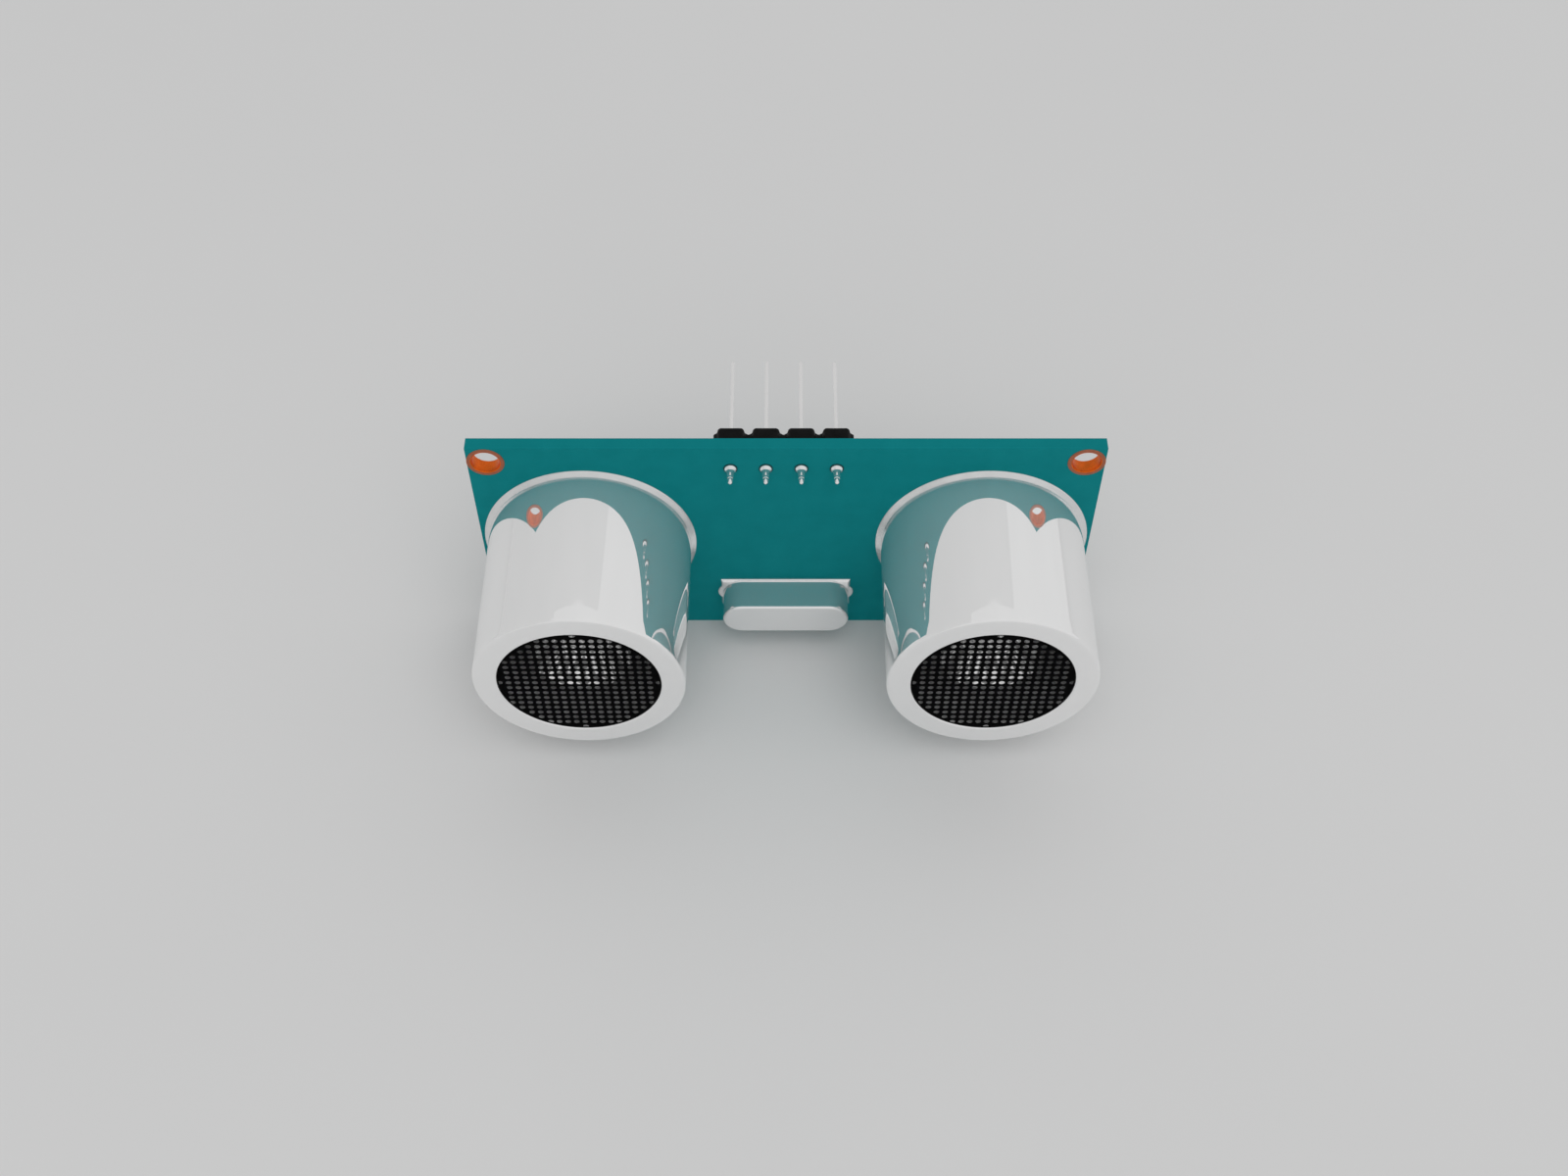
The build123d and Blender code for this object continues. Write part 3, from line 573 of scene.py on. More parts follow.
# ---------------------------------------------------------------------------
# Transducers.
# ---------------------------------------------------------------------------
can_wall = 0.35
edge_r = 0.25
open_r = 5.81
for side in ("receiver", "transmitter"):
    cl, ch = low(side + "_can"), high(side + "_can")
    cx, cz = (cl[0] + ch[0]) / 2, (cl[2] + ch[2]) / 2
    can_r = (ch[0] - cl[0]) / 2
    front = -cl[1]
    foot = -ch[1]

    # can: outer wall with a slight foot roll, rolled front edge, flat rim, lip
    ir = can_r - can_wall
    prof = [(can_r, foot + 0.06 + (front - edge_r - foot - 0.06) * k / 12) for k in range(12)]
    prof += arc(can_r - edge_r, front - edge_r, edge_r, 0, 90, 10)
    flat0, flat1 = can_r - edge_r, open_r + 0.12
    prof += [(flat0 + (flat1 - flat0) * k / 4, front) for k in (1, 2, 3)]
    prof += arc(flat1, front - 0.12, 0.12, 90, 180, 6)
    prof += [(open_r, front - can_wall + 0.03)]
    n_lip = len(prof)
    prof += [(open_r + 0.04, front - can_wall), (ir - 0.06, front - can_wall)]
    prof += arc(ir - 0.06, front - can_wall - 0.06, 0.06, 90, 0, 3)[1:]
    prof += [(ir, front - can_wall - 3.0), (ir, front - can_wall - 6.0), (ir, foot + 0.03)]
    n_in = len(prof)
    prof += [(ir + 0.03, foot), (can_r - 0.06, foot)]
    prof += arc(can_r - 0.06, foot + 0.06, 0.06, 270, 360, 3)[1:-1]
    bm = bmesh.new()
    lathe(bm, prof, cx, cz, 256, mat=lambda i: 1 if n_lip <= i < n_in else 0)
    emit(side + "_can_shell", bm, [M["can"], M["can_in"]], [side + "_can"], 40)

    # grille: flat perforated disc and a brim
    gl, gh = low(side + "_grille"), high(side + "_grille")
    g_front = -gl[1]
    g_back = g_front - 0.05
    pitch, hole = 0.625, 0.43
    clear = 5.70
    holes = []
    for i in range(-10, 11):
        for j in range(-10, 11):
            if math.hypot(i * pitch, j * pitch) > clear - 0.06:
                continue
            # a hole at the edge is cut off by the plain ring round the disc
            lp = []
            for x, z in circle(i * pitch, j * pitch, hole / 2, 14):
                k = min(1.0, clear / math.hypot(x, z))
                lp.append((cx + x * k, cz + z * k))
            holes.append(lp)
    bm = bmesh.new()
    plate(bm, circle(cx, cz, 5.77, 192), holes, g_back, g_front, 0.012, 2)
    for f in bm.faces:
        if all(v.co.y > -g_back - 0.013 for v in f.verts):
            f.material_index = 1
    brim_top = front - can_wall
    lathe(bm, [(5.725, g_back + 0.012), (5.76, g_back + 0.012), (5.77, brim_top), (6.34, brim_top),
               (6.38, brim_top - 0.04), (6.38, brim_top - 0.18), (6.34, brim_top - 0.22),
               (5.765, brim_top - 0.22), (5.725, brim_top - 0.18)], cx, cz, 192,
          mat=lambda i: 1 if i >= 5 else 0)
    emit(side + "_grille_plate", bm, [M["grille"], M["grille_in"]],
         [side + "_grille"], 40)

    # horn cone on its stem
    kl, kh = low(side + "_horn_cone"), high(side + "_horn_cone")
    y0 = -kh[1]
    rim = (kh[0] - kl[0]) / 2
    throat, wall, top = 0.70, 0.16, -kl[1] - 0.16
    outer = curve([(throat, y0 + 0.45), (throat + 0.55, y0 + 0.86), (throat + 1.25, y0 + 1.20),
                   (throat + 2.1, y0 + 1.98), (rim, top)], 8)
    inner = [(max(r - 0.10, 0.05), d + wall * 0.93) for r, d in outer][::-1]
    prof = [(0, y0), (throat - 0.04, y0), (throat, y0 + 0.04)] + outer
    prof += [(rim - 0.005, top + 0.09), (rim - 0.04, top + 0.14)] + inner
    prof += [(0.3, y0 + 0.47), (0, y0 + 0.45)]
    bm = bmesh.new()
    lathe(bm, prof, cx, cz, 160, closed=False)
    emit(side + "_horn", bm, M["cone"], [side + "_horn_cone"], 50)

    # flange of the base, with a rounded outer edge; the moulding inside is CAD
    bl, bh = low(side + "_base"), high(side + "_base")
    fr = (bh[0] - bl[0]) / 2
    ft = 0.30
    bm = bmesh.new()
    s0, s1 = fr - 0.010, can_r + 0.012
    lathe(bm, [(fr - 0.01, 0.0), (fr, 0.01), (fr, 0.040), (s0, 0.056)]
          + [(s0 + (s1 - s0) * k, 0.056 + (ft - 0.066) * k) for k in (0.33, 0.66, 0.96)]
          + [(s1, ft - 0.004), (s1 - 0.010, ft), (7.3, ft), (7.10, ft), (7.10, 2.36), (7.06, 2.40), (4.72, 2.40), (4.70, 2.42),
             (4.70, 6.46), (4.66, 6.50), (3.84, 6.50), (3.80, 6.46), (3.80, 3.0), (0, 3.0)],
          cx, cz, 224, closed=False,
          mat=lambda i: 0 if i < 10 else 1)
    # underside
    lathe(bm, [(fr - 0.01, 0.0), (0, 0.0)], cx, cz, 224, closed=False, mat=lambda i: 0)
    emit(side + "_base_moulding", bm, [M["base"], M["inner"]], [side + "_base"], 35)

    # terminal solder behind the board
    tz = [cz - 5.0, cz + 5.0]
    bm = bmesh.new()
    for z in tz:
        prof = curve([(0.90, -1.05), (0.72, -1.22), (0.52, -1.55), (0.40, -2.0), (0.355, -2.28)], 7)
        prof = [(0.30, -1.05), (0.90, -1.05)] + prof[1:] + [(0.30, -2.30)]
        lathe(bm, prof, cx, z, 72)
    emit(side + "_terminal_solder", bm, M["solder"], [side + "_solder_joints"], 50)

    bm = bmesh.new()
    for z in tz:
        lathe(bm, [(0, 3.40), (0.33, 3.40), (0.35, 3.38), (0.35, -2.48), (0.33, -2.53),
                   (0.28, -2.57), (0.20, -2.595), (0, -2.60)], cx, z, 64, closed=False)
    emit(side + "_terminal_posts", bm, M["tin"], [side + "_terminals"], 45)

# ---------------------------------------------------------------------------
# Plated barrels of the mounting holes.
# ---------------------------------------------------------------------------
ml, mh = low("mounting_hole_barrels"), high("mounting_hole_barrels")
ring_r = 1.33
hx = mh[0] - ring_r
hz = mh[2] - ring_r
ring_r += 0.03
bm = bmesh.new()
for sx in (-1, 1):
    for sz in (-1, 1):
        prof = []
        prof += arc(ring_r - 0.035, 0.015, 0.035, 0, 90, 4)
        prof += arc(1.10, -0.05, 0.10, 90, 180, 6)
        prof += arc(1.10, -0.95, 0.10, 180, 270, 6)
        prof += arc(ring_r - 0.035, -1.015, 0.035, 270, 360, 4)
        prof += [(ring_r, -0.999), (1.06, -0.90), (1.06, -0.10), (ring_r, -0.001)]
        lathe(bm, prof, sx * hx, sz * hz, 128, mat=lambda i: 1 if i < 5 or i >= 18 else 0)
emit("mounting_ferrules", bm, [M["copper"], M["ring"]], ["mounting_hole_barrels"], 45)

# ---------------------------------------------------------------------------
# Header.
# ---------------------------------------------------------------------------
pl, ph = low("header_pins"), high("header_pins")
pitch = 2.54
head_x = (pl[0] + ph[0]) / 2
head_z = (pl[2] + ph[2]) / 2
pins_x = [head_x + (i - 1.5) * pitch for i in range(4)]
hw, hh = 0.125, 0.25
half = [(-1.27, -0.56), (-1.02, -0.74), (-0.93, -1.12), (-0.78, -1.27)]
seg_low = half + [(-x, z) for x, z in half[::-1]]
outline = []
for px in pins_x:
    pts = [(px + x, head_z + z) for x, z in seg_low]
    if outline:
        pts = pts[1:]
    outline += pts
top = []
for px in pins_x[::-1]:
    pts = [(px + x, head_z - z) for x, z in seg_low[::-1]]
    if top:
        pts = pts[1:]
    top += pts
outline += top
pin_holes = [[(px + x, head_z + z) for x, z in rrect(hw + 0.02, hh + 0.02, 0.03, 2)]
             for px in pins_x]


def soften(lp, r=0.07, n=3):
    """Rounds the corners of a loop."""
    out = []
    m = len(lp)
    for i in range(m):
        a, b, c = Vector(lp[i - 1]), Vector(lp[i]), Vector(lp[(i + 1) % m])
        u, v = (a - b), (c - b)
        k = min(r, u.length * 0.4, v.length * 0.4)
        p, q = b + u.normalized() * k, b + v.normalized() * k
        for j in range(n + 1):
            t = j / n
            w = p * (1 - t) ** 2 + b * 2 * t * (1 - t) + q * t ** 2
            out.append((w.x, w.y))
    return out


bm = bmesh.new()
plate(bm, soften(outline), pin_holes, -2.78, -1.0, 0.06, 3)
emit("header_body", bm, M["header"], ["header_housing"], 30)

bm = bmesh.new()
for px in pins_x:
    secs = []
    for y, a, b, r in ((-1.06, 0.09, 0.13, 0.03), (-0.92, 0.064, 0.205, 0.03),
                       (-0.46, 0.064, 0.284, 0.03), (-0.42, 0.064, 0.20, 0.03),
                       (0.30, 0.10, 0.20, 0.03), (0.80, hw, hh, 0.03), (ph[1] - 0.45, hw, hh, 0.03),
                       (ph[1] - 0.18, hw - 0.02, hh - 0.03, 0.03),
                       (ph[1] - 0.05, hw - 0.045, hh - 0.07, 0.03),
                       (ph[1], hw - 0.07, hh - 0.11, 0.02)):
        secs.append([(px + x, y, head_z + z) for x, z in rrect(a, b, r, 3)])
    loft(bm, secs)
emit("header_blades", bm, M["pin"], ["header_pins"], 35)

pl_front = -pl[1]
bm = bmesh.new()
for px in pins_x:
    prof = [(0, 0.03), (0.435, 0.03), (0.442, 0.06)]
    prof += curve([(0.442, 0.06), (0.424, 0.12), (0.374, 0.17), (0.305, 0.225), (0.262, 0.31),
                   (0.250, 0.45), (0.240, 0.62), (0.226, 0.80), (0.208, 0.97)], 6)[1:]
    # the pin's tinned tip, behind a thin groove
    prof += [(0.203, 0.99), (0.188, 1.000), (0.184, 1.020), (0.190, 1.040)]
    prof += curve([(0.196, 1.05), (0.187, 1.15), (0.170, 1.26), (0.142, 1.36), (0.085, 1.425)], 5)[1:]
    prof += [(0.04, pl_front - 0.006), (0, pl_front - 0.002)]
    lathe(bm, prof, px, head_z, 96, closed=False)
emit("header_solder", bm, M["solder"], ["header_solder_joints"], 60)

# ---------------------------------------------------------------------------
# Crystal.
# ---------------------------------------------------------------------------
xl, xh = low("crystal_can"), high("crystal_can")
xcx, xcz = (xl[0] + xh[0]) / 2, (xl[2] + xh[2]) / 2
xhw, xhh = (xh[0] - xl[0]) / 2, (xh[2] - xl[2]) / 2


def stadium(hw_, hh_, n=40):
    return (arc(hw_ - hh_, 0, hh_, -90, 90, n) + arc(-(hw_ - hh_), 0, hh_, 90, 270, n))


secs = []
x_edge = 0.18
steps = [(-xh[1], -0.06), (-xh[1] + 0.05, -0.02), (-xh[1] + 0.12, 0.0)]
steps += [(-xh[1] + 0.12 + (-xl[1] - x_edge + xh[1] - 0.12) * k / 4, 0.0) for k in (1, 2, 3)]
steps += [(-xl[1] - x_edge + x_edge * math.sin(math.radians(9 * k)),
           x_edge * (1 - math.cos(math.radians(9 * k)))) for k in range(11)]
for d, inset in steps:
    secs.append([(xcx + x, -d, xcz + z) for x, z in stadium(xhw - inset, xhh - inset)])
bm = bmesh.new()
loft(bm, secs)
emit("crystal_shell", bm, M["xtal"], ["crystal_can"], 40)

ql, qh = low("crystal_base_plate"), high("crystal_base_plate")
qcx, qcz = (ql[0] + qh[0]) / 2, (ql[2] + qh[2]) / 2
bm = bmesh.new()
phw, phh, pt, pb = (qh[0] - ql[0]) / 2, (qh[2] - ql[2]) / 2, -ql[1], 0.16
secs = []
for d, inset in ((0.0, 0.0), (pt - pb - 0.02, 0.0), (pt - pb, 0.008), (pt - 0.02, pb - 0.012), (pt, pb + 0.01)):
    secs.append([(qcx + x, -d, qcz + z) for x, z in rrect(phw - inset, phh - inset, 0.05, 4)])
loft(bm, secs)
emit("crystal_plate", bm, M["plate"], ["crystal_base_plate"], 35)

ll, lh = low("crystal_solder_lugs"), high("crystal_solder_lugs")
lug_r = 0.90
lug_z = (ll[2] + lh[2]) / 2
lug_t = -ll[1]
bm = bmesh.new()
for s, x in ((-1, ll[0] + lug_r), (1, lh[0] - lug_r)):
    prof = [(0, 0.0), (lug_r - 0.02, 0.0), (lug_r, 0.02), (lug_r, lug_t - 0.14)]
    prof += arc(lug_r - 0.14, lug_t - 0.14, 0.14, 0, 90, 8)[1:]
    prof += [(0, lug_t)]
    lathe(bm, prof, x, lug_z, 96, closed=False)
emit("crystal_lugs", bm, M["solder"], ["crystal_solder_lugs"], 45)

# ---------------------------------------------------------------------------
# Back of the board: chips, transistor, resistors and capacitors, their solder,
# the tracks under the solder mask, and the printed outlines.
# ---------------------------------------------------------------------------
BACK = board_hi[1]
COPPER = 0.05


def welded(node):
    """A CAD node's mesh in millimetres, welded and with its flat faces whole."""
    b = bmesh.new()
    b.from_mesh(nodes[node].data)
    bmesh.ops.scale(b, vec=(1 / MM, 1 / MM, 1 / MM), verts=b.verts)
    bmesh.ops.remove_doubles(b, verts=b.verts, dist=1e-4)
    bmesh.ops.dissolve_limit(b, angle_limit=math.radians(1), verts=b.verts, edges=b.edges)
    return b


def softened(node, width):
    """A moulded body: the CAD node with its long edges rounded."""
    b = welded(node)
    b.normal_update()
    es = [e for e in b.edges if e.is_manifold and e.calc_length() > 0.3
          and e.calc_face_angle(0) > math.radians(25)]
    bmesh.ops.bevel(b, geom=es, offset=width, offset_type="OFFSET", segments=3, profile=0.5,
                    affect="EDGES", clamp_overlap=True, miter_outer="ARC")
    bmesh.ops.dissolve_degenerate(b, edges=b.edges, dist=1e-4)
    return b


def islands(node):
    """Boxes of the separate solids of a CAD node, in millimetres."""
    b = welded(node)
    b.verts.ensure_lookup_table()
    owner = [None] * len(b.verts)
    out = []
    for v0 in b.verts:
        if owner[v0.index] is not None:
            continue
        stack, seen = [v0], []
        owner[v0.index] = len(out)
        while stack:
            v = stack.pop()
            seen.append(v.co.copy())
            for e in v.link_edges:
                o = e.other_vert(v)
                if owner[o.index] is None:
                    owner[o.index] = len(out)
                    stack.append(o)
        out.append(([min(c[i] for c in seen) for i in range(3)],
                    [max(c[i] for c in seen) for i in range(3)]))
    b.free()
    return sorted(out)


def bend(points, r, n=4):
    """Rounds the inner corners of an open line."""
    out = [points[0]]
    for a, b, c in zip(points, points[1:], points[2:]):
        a, b, c = Vector(a), Vector(b), Vector(c)
        u, v = a - b, c - b
        k = min(r, u.length * 0.45, v.length * 0.45)
        p, q = b + u.normalized() * k, b + v.normalized() * k
        for j in range(n + 1):
            t = j / n
            w = p * (1 - t) ** 2 + b * 2 * t * (1 - t) + q * t ** 2
            out.append((w.x, w.y))
    out.append(points[-1])
    return out


def ribbon(bm, path, ox, oz, ux, uz, t, w):
    """Sweeps a flat strip with rounded edges. The path is (distance out, height
    above the board's back); (ux, uz) is the way out."""
    secs = []
    m = len(path)
    for i, (a, h) in enumerate(path):
        p, q = path[max(i - 1, 0)], path[min(i + 1, m - 1)]
        ta, th = q[0] - p[0], q[1] - p[1]
        k = math.hypot(ta, th)
        na, nh = -th / k, ta / k
        sec = []
        for along, up in rrect(w / 2, t / 2, 0.035, 3):
            b = a + na * up
            sec.append((ox + ux * b - uz * along, BACK + h + nh * up, oz + uz * b + ux * along))
        secs.append(sec)
    loft(bm, secs)


def heap(bm, ox, oz, ux, uz, steps, r=0.09):
    """Solder wetting a joint: steps are (height, from, to, half width)."""
    secs = []
    for h, a0, a1, hw_ in steps:
        mid, hl = (a0 + a1) / 2, (a1 - a0) / 2
        sec = []
        for x, z in rrect(hl, hw_, min(r, hl * 0.9, hw_ * 0.9), 4):
            sec.append((ox + ux * (mid + x) - uz * z, BACK + h, oz + uz * (mid + x) + ux * z))
        secs.append(sec)
    loft(bm, secs)


for chip in ("amplifier_chip", "controller_chip", "driver_chip"):
    emit(chip + "_body", softened(chip, 0.045), M["epoxy"], [chip], 30)
    ccx = centre(chip)[0]
    leads, wet = bmesh.new(), bmesh.new()
    for lo_, hi_ in islands(chip + "_leads"):
        lx, lz = (lo_[0] + hi_[0]) / 2, (lo_[2] + hi_[2]) / 2
        s_ = 1 if lx > ccx else -1
        reach = hi_[0] - ccx if s_ > 0 else ccx - lo_[0]
        ribbon(leads, bend([(1.93, 0.85), (2.22, 0.85), (2.47, COPPER + 0.10), (reach, COPPER + 0.10)],
                           0.16), ccx, lz, s_, 0, 0.20, hi_[2] - lo_[2])
        heap(wet, ccx, lz, s_, 0, ((COPPER, reach - 0.80, reach + 0.40, 0.290),
                                   (COPPER + 0.02, reach - 0.74, reach + 0.30, 0.268),
                                   (COPPER + 0.06, reach - 0.66, reach + 0.18, 0.244),
                                   (COPPER + 0.11, reach - 0.60, reach + 0.09, 0.226),
                                   (COPPER + 0.16, reach - 0.55, reach + 0.03, 0.214)))
    emit(chip + "_gull_leads", leads, M["tin"], [chip + "_leads"], 35)
    emit(chip + "_lead_solder", wet, M["solder"], (), 50)

emit("transistor_body", softened("transistor", 0.035), M["epoxy"], ["transistor"], 30)
tcx, _, tcz = centre("transistor")
leads, wet = bmesh.new(), bmesh.new()
for lo_, hi_ in islands("transistor_leads"):
    lx, lz = (lo_[0] + hi_[0]) / 2, (lo_[2] + hi_[2]) / 2
    s_ = 1 if lz > tcz else -1
    reach = hi_[2] - tcz if s_ > 0 else tcz - lo_[2]
    ribbon(leads, bend([(0.62, 0.59), (0.75, 0.59), (0.90, COPPER + 0.06), (reach, COPPER + 0.06)],
                       0.09), lx, tcz, 0, s_, 0.12, hi_[0] - lo_[0])
    heap(wet, lx, tcz, 0, s_, ((COPPER, reach - 0.42, reach + 0.19, 0.28),
                               (COPPER + 0.02, reach - 0.38, reach + 0.13, 0.255),
                               (COPPER + 0.05, reach - 0.34, reach + 0.07, 0.230),
                               (COPPER + 0.09, reach - 0.30, reach + 0.03, 0.212)))
emit("transistor_gull_leads", leads, M["tin"], ["transistor_leads"], 35)
emit("transistor_solder", wet, M["solder"], (), 50)

# resistors: white ceramic with a black glaze on top and wrapped ends
bodies, glaze = bmesh.new(), bmesh.new()
for lo_, hi_ in islands("chip_resistors"):
    px, pz = (lo_[0] + hi_[0]) / 2, (lo_[2] + hi_[2]) / 2
    hx_, hz_ = (hi_[0] - lo_[0]) / 2, (hi_[2] - lo_[2]) / 2
    lie = hx_ > hz_
    block(bodies, px, pz, -lo_[1], -hi_[1] + 0.035, hx_ + (0.05 if lie else -0.02),
          hz_ + (-0.02 if lie else 0.05), 0.02, 0.015, n=2)
    block(glaze, px, pz, -hi_[1] + 0.045, -hi_[1], hx_ + (0.02 if lie else -0.035),
          hz_ + (-0.035 if lie else 0.02), 0.05, 0.03, n=3, both=False)
emit("resistor_ceramics", bodies, M["alumina"], ["chip_resistors"], 40)
emit("resistor_glaze", glaze, M["resistor"], (), 40)

bodies = bmesh.new()
for lo_, hi_ in islands("chip_capacitors"):
    px, pz = (lo_[0] + hi_[0]) / 2, (lo_[2] + hi_[2]) / 2
    hx_, hz_ = (hi_[0] - lo_[0]) / 2, (hi_[2] - lo_[2]) / 2
    lie = hx_ > hz_
    block(bodies, px, pz, -lo_[1], -hi_[1], hx_ + (0.05 if lie else -0.015),
          hz_ + (-0.015 if lie else 0.05), 0.06, 0.05, n=3)
emit("capacitor_bodies", bodies, M["capacitor"], ["chip_capacitors"], 40)

for kind, rise in (("resistor", 0.36), ("capacitor", 0.58)):
    caps, wet = bmesh.new(), bmesh.new()
    mids = [((a[0] + b[0]) / 2, (a[2] + b[2]) / 2) for a, b in islands("chip_" + kind + "s")]
    for lo_, hi_ in islands("chip_" + kind + "_ends"):
        px, pz = (lo_[0] + hi_[0]) / 2, (lo_[2] + hi_[2]) / 2
        hx_, hz_ = (hi_[0] - lo_[0]) / 2, (hi_[2] - lo_[2]) / 2
        block(caps, px, pz, -lo_[1], -hi_[1], hx_, hz_, 0.07, 0.06, n=4)
        mx_, mz_ = min(mids, key=lambda m_: math.hypot(m_[0] - px, m_[1] - pz))
        ux, uz = (1 if px > mx_ else -1, 0) if hx_ < hz_ else (0, 1 if pz > mz_ else -1)
        heap(wet, mx_, mz_, ux, uz, ((COPPER, 0.43, 1.12, 0.43),
                                     (COPPER + 0.06 * rise, 0.46, 1.04, 0.420),
                                     (COPPER + 0.22 * rise, 0.48, 0.95, 0.411),
                                     (COPPER + 0.50 * rise, 0.495, 0.87, 0.403),
                                     (COPPER + 0.85 * rise, 0.505, 0.818, 0.396)), 0.12)
    emit(kind + "_caps", caps, M["tin"], ["chip_" + kind + "_ends"], 40)
    emit(kind + "_solder", wet, M["solder"], (), 50)


def track(bm, points, w, h=0.032):
    """A copper track under the solder mask: a low strip with round ends."""
    pts = [Vector(p) for p in points]
    left, right = [], []
    for i, p in enumerate(pts):
        u = (pts[i] - pts[i - 1]).normalized() if i else (pts[1] - pts[0]).normalized()
        v = (pts[i + 1] - pts[i]).normalized() if i < len(pts) - 1 else u
        t = (u + v).normalized()
        nrm = Vector((-t.y, t.x))
        k = 1 / max(0.5, nrm.dot(Vector((-u.y, u.x))))
        left.append((p, nrm, k))
    secs = []
    for d, inset in ((0.0, 0.0), (h * 0.6, 0.004), (h, 0.035)):
        r = w / 2 - inset
        lp = [(p.x + n_.x * r * k, p.y + n_.y * r * k) for p, n_, k in left]
        a = math.atan2(left[-1][1].y, left[-1][1].x)
        lp += [(pts[-1].x + r * math.cos(a - math.pi * j / 8), pts[-1].y + r * math.sin(a - math.pi * j / 8))
               for j in range(1, 8)]
        lp += [(p.x - n_.x * r * k, p.y - n_.y * r * k) for p, n_, k in left[::-1]]
        a = math.atan2(-left[0][1].y, -left[0][1].x)
        lp += [(pts[0].x + r * math.cos(a - math.pi * j / 8), pts[0].y + r * math.sin(a - math.pi * j / 8))
               for j in range(1, 8)]
        secs.append([(x, BACK + d, z) for x, z in lp])
    loft(bm, secs)


both_sides = [
    [(4.1, 1.4), (3.6, 1.9), (3.3, 1.9)], [(4.1, -0.05), (3.41, 0.64), (3.3, 0.64)],
    [(4.1, -1.1), (3.63, -0.63), (3.3, -0.63)], [(4.1, -2.4), (3.6, -1.9), (3.3, -1.9)],
    [(4.1, -3.6), (3.67, -3.17), (3.3, -3.17)], [(4.1, -4.95), (3.59, -4.44), (3.3, -4.44)],
    [(4.82, -8.2), (4.3, -7.68), (4.3, -5.4)], [(1.92, -8.2), (1.92, -7.6), (2.85, -6.67), (2.85, -5.9)],
]
tracks = [(0.28, t) for t in both_sides] + [(0.28, [(-x, z) for x, z in t]) for t in both_sides]
tracks += [(0.40, t) for t in (
    [(-14.0, 4.5), (-12.9, 3.4), (-12.9, 2.6), (-12.51, 2.21), (-11.9, 2.21)],
    [(-14.0, -4.6), (-12.9, -3.5), (-12.9, -3.0), (-12.77, -2.87), (-11.9, -2.87)],
    [(14.0, 4.5), (12.95, 3.45), (12.95, 3.2), (12.595, 2.845), (11.9, 2.845)],
    [(13.8, -5.05), (12.5, -5.05), (12.225, -4.775), (11.9, -4.775)],
    [(-3.986, 6.9), (-3.986, 5.2), (-4.3, 4.886), (-4.3, 4.3)],
    [(3.634, 6.9), (3.634, 5.3), (4.3, 4.634), (4.3, 4.3)])]
tracks += [(0.28, t) for t in (
    [(-1.446, 6.9), (-1.446, 4.3), (-2.85, 2.896), (-2.85, 2.0)],
    [(1.094, 6.9), (1.094, 4.656), (2.85, 2.9), (2.85, 2.0)],
    [(-5.3, 2.21), (-4.9, 2.61), (-4.4, 2.61)], [(-5.3, 0.94), (-4.9, 1.34), (-4.4, 1.34)],
    [(-5.3, -0.33), (-4.95, 0.02), (-4.4, 0.02)], [(-5.3, -1.6), (-4.9, -1.2), (-4.4, -1.2)],
    [(-5.3, -2.87), (-5.0, -2.57), (-4.4, -2.57)], [(-5.3, -4.14), (-4.9, -3.74), (-4.4, -3.74)],
    [(-5.3, -5.41), (-5.1, -5.21), (-4.4, -5.21)],
    [(5.3, 2.845), (4.4, 2.845)], [(5.3, 1.575), (4.4, 1.575)], [(5.3, 0.305), (4.4, 0.305)],
    [(5.3, -0.965), (4.4, -0.965)], [(5.3, -2.335), (4.4, -2.335)], [(5.3, -3.505), (4.4, -3.505)],
    [(5.3, -4.775), (4.95, -5.125), (4.4, -5.125)],
    [(-11.45, -5.6), (-11.45, -6.4), (-9.7, -8.15)],
    [(-7.6, -8.2), (-5.85, -6.45), (-5.75, -6.35), (-5.75, -5.6)],
    [(3.3, -8.5), (5.0, -8.5)], [(6.2, -8.5), (8.0, -8.5)], [(-5.0, -8.5), (-3.3, -8.5)],
    [(-6.2, -8.5), (-8.0, -8.5)], [(9.6, -8.1), (11.45, -6.25)],
    [(11.9, 1.575), (12.3, 1.575), (12.7, 1.975)], [(11.9, 0.305), (12.4, 0.305), (12.7, 0.005)],
    [(11.9, -2.235), (12.3, -2.235), (12.75, -1.785)],
    [(-11.9, 0.94), (-12.2, 0.94), (-12.8, 1.54), (-12.8, 1.8)],
    [(-11.9, -0.33), (-12.3, -0.33), (-12.7, 0.07)], [(-11.9, -1.6), (-12.8, -1.6)],
    [(14.4, 1.9), (15.6, 1.9), (16.7, 3.0), (16.9, 3.0)], [(14.4, 0.1), (15.5, 0.1), (16.93, -1.33)],
    [(14.4, -1.7), (15.6, -1.7), (16.9, -3.0), (16.9, -3.3)],
    [(17.9, 1.0), (17.9, 2.1), (18.6, 2.8)], [(-14.4, 1.9), (-17.8, 1.9)],
    [(-14.4, 0.1), (-16.9, 0.1), (-17.3, 0.5), (-17.8, 0.5)], [(-18.0, 0.3), (-18.0, -1.7)],
    [(-14.4, -1.7), (-15.6, -1.7), (-17.2, -3.3), (-17.8, -3.3)],
    [(-9.9, 4.0), (-9.0, 4.9), (-5.2, 4.9), (-4.6, 4.3)], [(9.9, 4.4), (9.4, 4.9), (5.2, 4.9), (4.6, 4.3)],
    [(18.9, -1.3), (19.6, -2.0), (19.6, -5.2)], [(18.7, -3.4), (19.3, -4.0), (19.3, -4.9), (19.59, -5.19)],
    [(-18.0, -3.5), (-18.0, -5.4)], [(8.0, -7.3), (7.0, -7.3), (6.0, -7.3), (5.2, -6.5), (5.6, -6.1)],
)]
bm = bmesh.new()
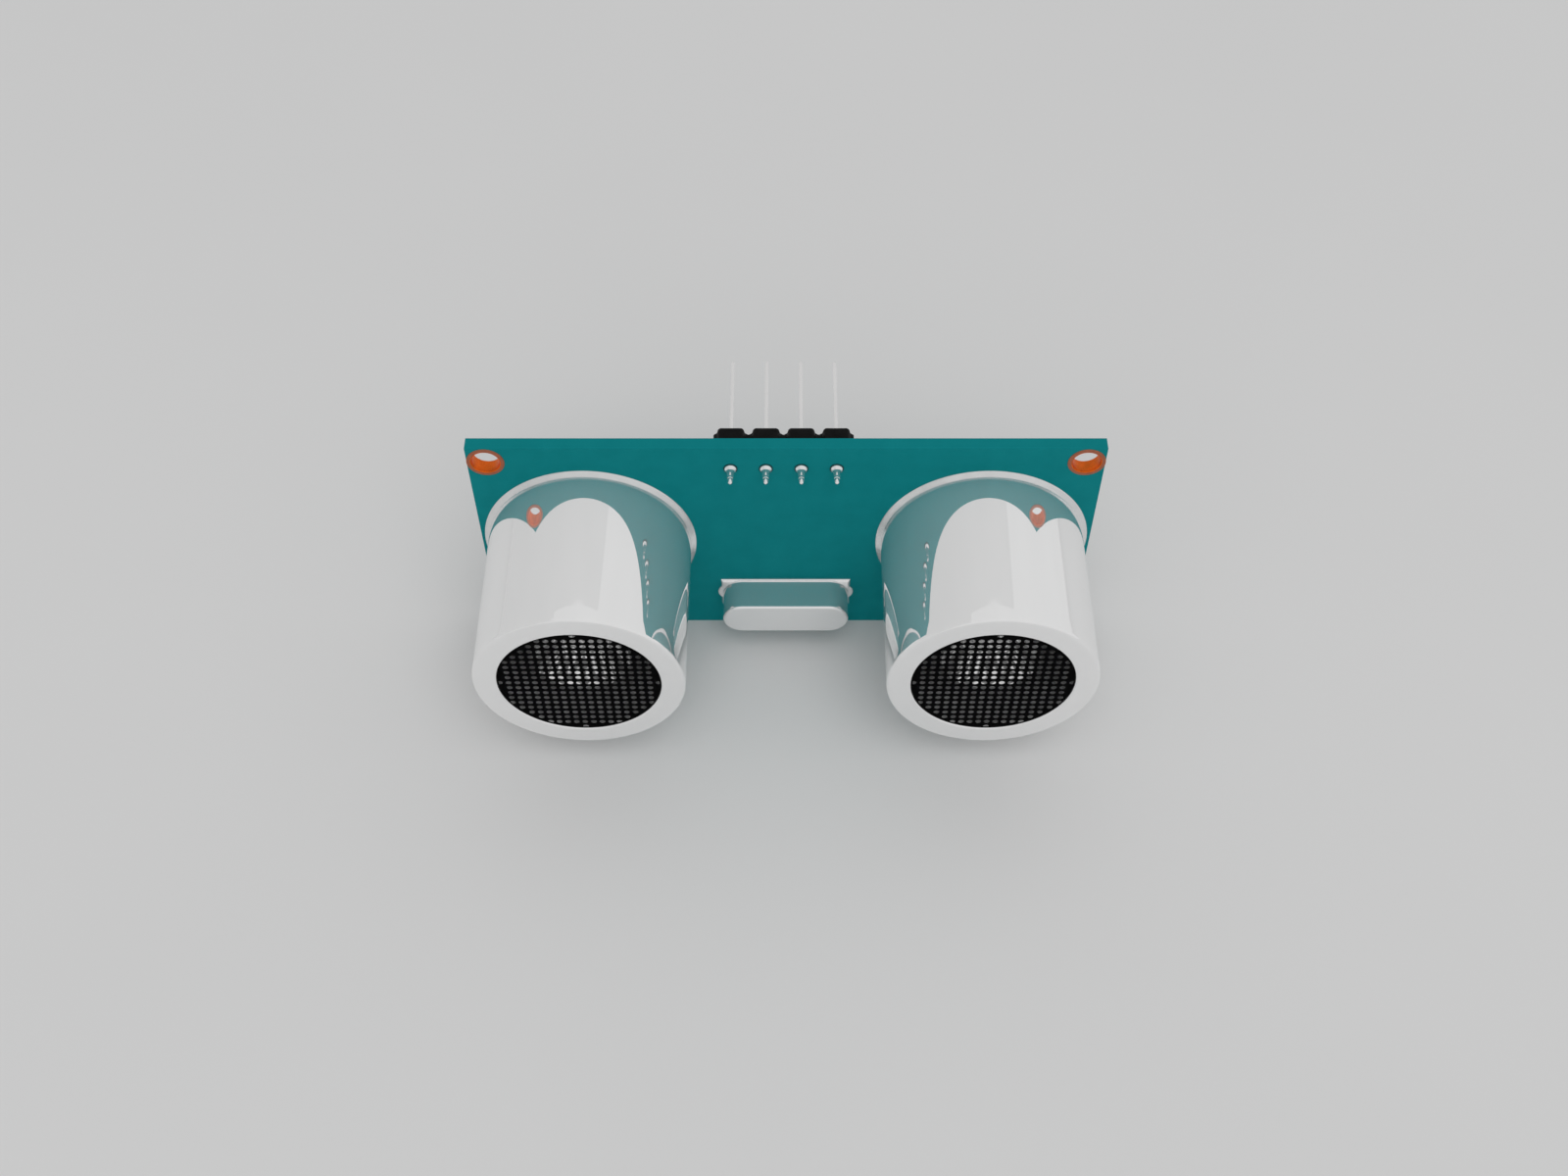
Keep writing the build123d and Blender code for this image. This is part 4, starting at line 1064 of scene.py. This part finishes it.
for w_, pts_ in tracks:
    track(bm, pts_, w_)
vias = [(-9.9, 4.0), (9.9, 4.4), (19.6, -5.2), (-18.0, -5.4), (8.0, -7.3), (-8.6, 6.4), (8.6, 6.4),
        (-17.2, 6.2), (17.2, 6.2), (-12.6, -8.4), (12.6, -8.4), (-19.6, 4.2), (19.9, 4.6), (0.0, -7.4)]
for vx, vz in vias:
    lathe(bm, [(0.11, -BACK), (0.34, -BACK), (0.34, -BACK - 0.018), (0.31, -BACK - 0.032),
               (0.17, -BACK - 0.032), (0.13, -BACK - 0.022), (0.11, -BACK - 0.008)], vx, vz, 40)
emit("board_tracks", bm, M["trace"], (), 30)

# printed outlines: a line past each end of a chip and a dot at its first lead
bm = bmesh.new()
for chip in ("amplifier_chip", "controller_chip", "driver_chip"):
    a_, b_ = low(chip), high(chip)
    for z in (a_[2] - 0.16, b_[2] + 0.16):
        block(bm, (a_[0] + b_[0]) / 2, z, -BACK, -BACK - 0.012, (b_[0] - a_[0]) / 2, 0.07, 0.068, 0.006,
              n=2, both=False)
    lathe(bm, [(0, -BACK), (0.20, -BACK), (0.20, -BACK - 0.006), (0.19, -BACK - 0.012),
               (0, -BACK - 0.012)], b_[0] + 0.75, b_[2] + 0.10, 32, closed=False)
emit("board_outlines", bm, M["ink"], (), 30)

# ---------------------------------------------------------------------------
# Carried-over CAD nodes get their finishes.
# ---------------------------------------------------------------------------
finish_of = {
    "circuit_board": "mask", "header_pads": "pad_dark", "terminal_pads": "pad",
    "surface_pads": "pad", "crystal_leads": "tin", "crystal_glass_seals": "glass",
    "crystal_mount_springs": "tin", "crystal_quartz_blank": "quartz",
    "crystal_electrodes": "silver",
}
for side in ("receiver", "transmitter"):
    for part, key in (("cushion_ring", "silicone"), ("diaphragm", "diaphragm"),
                      ("piezo_disc", "ceramic"), ("cone_cement", "cement"),
                      ("lead_wires", "wire")):
        finish_of[side + "_" + part] = key
for n, key in finish_of.items():
    ob = nodes[n]
    ob.data.materials.clear()
    ob.data.materials.append(M[key])
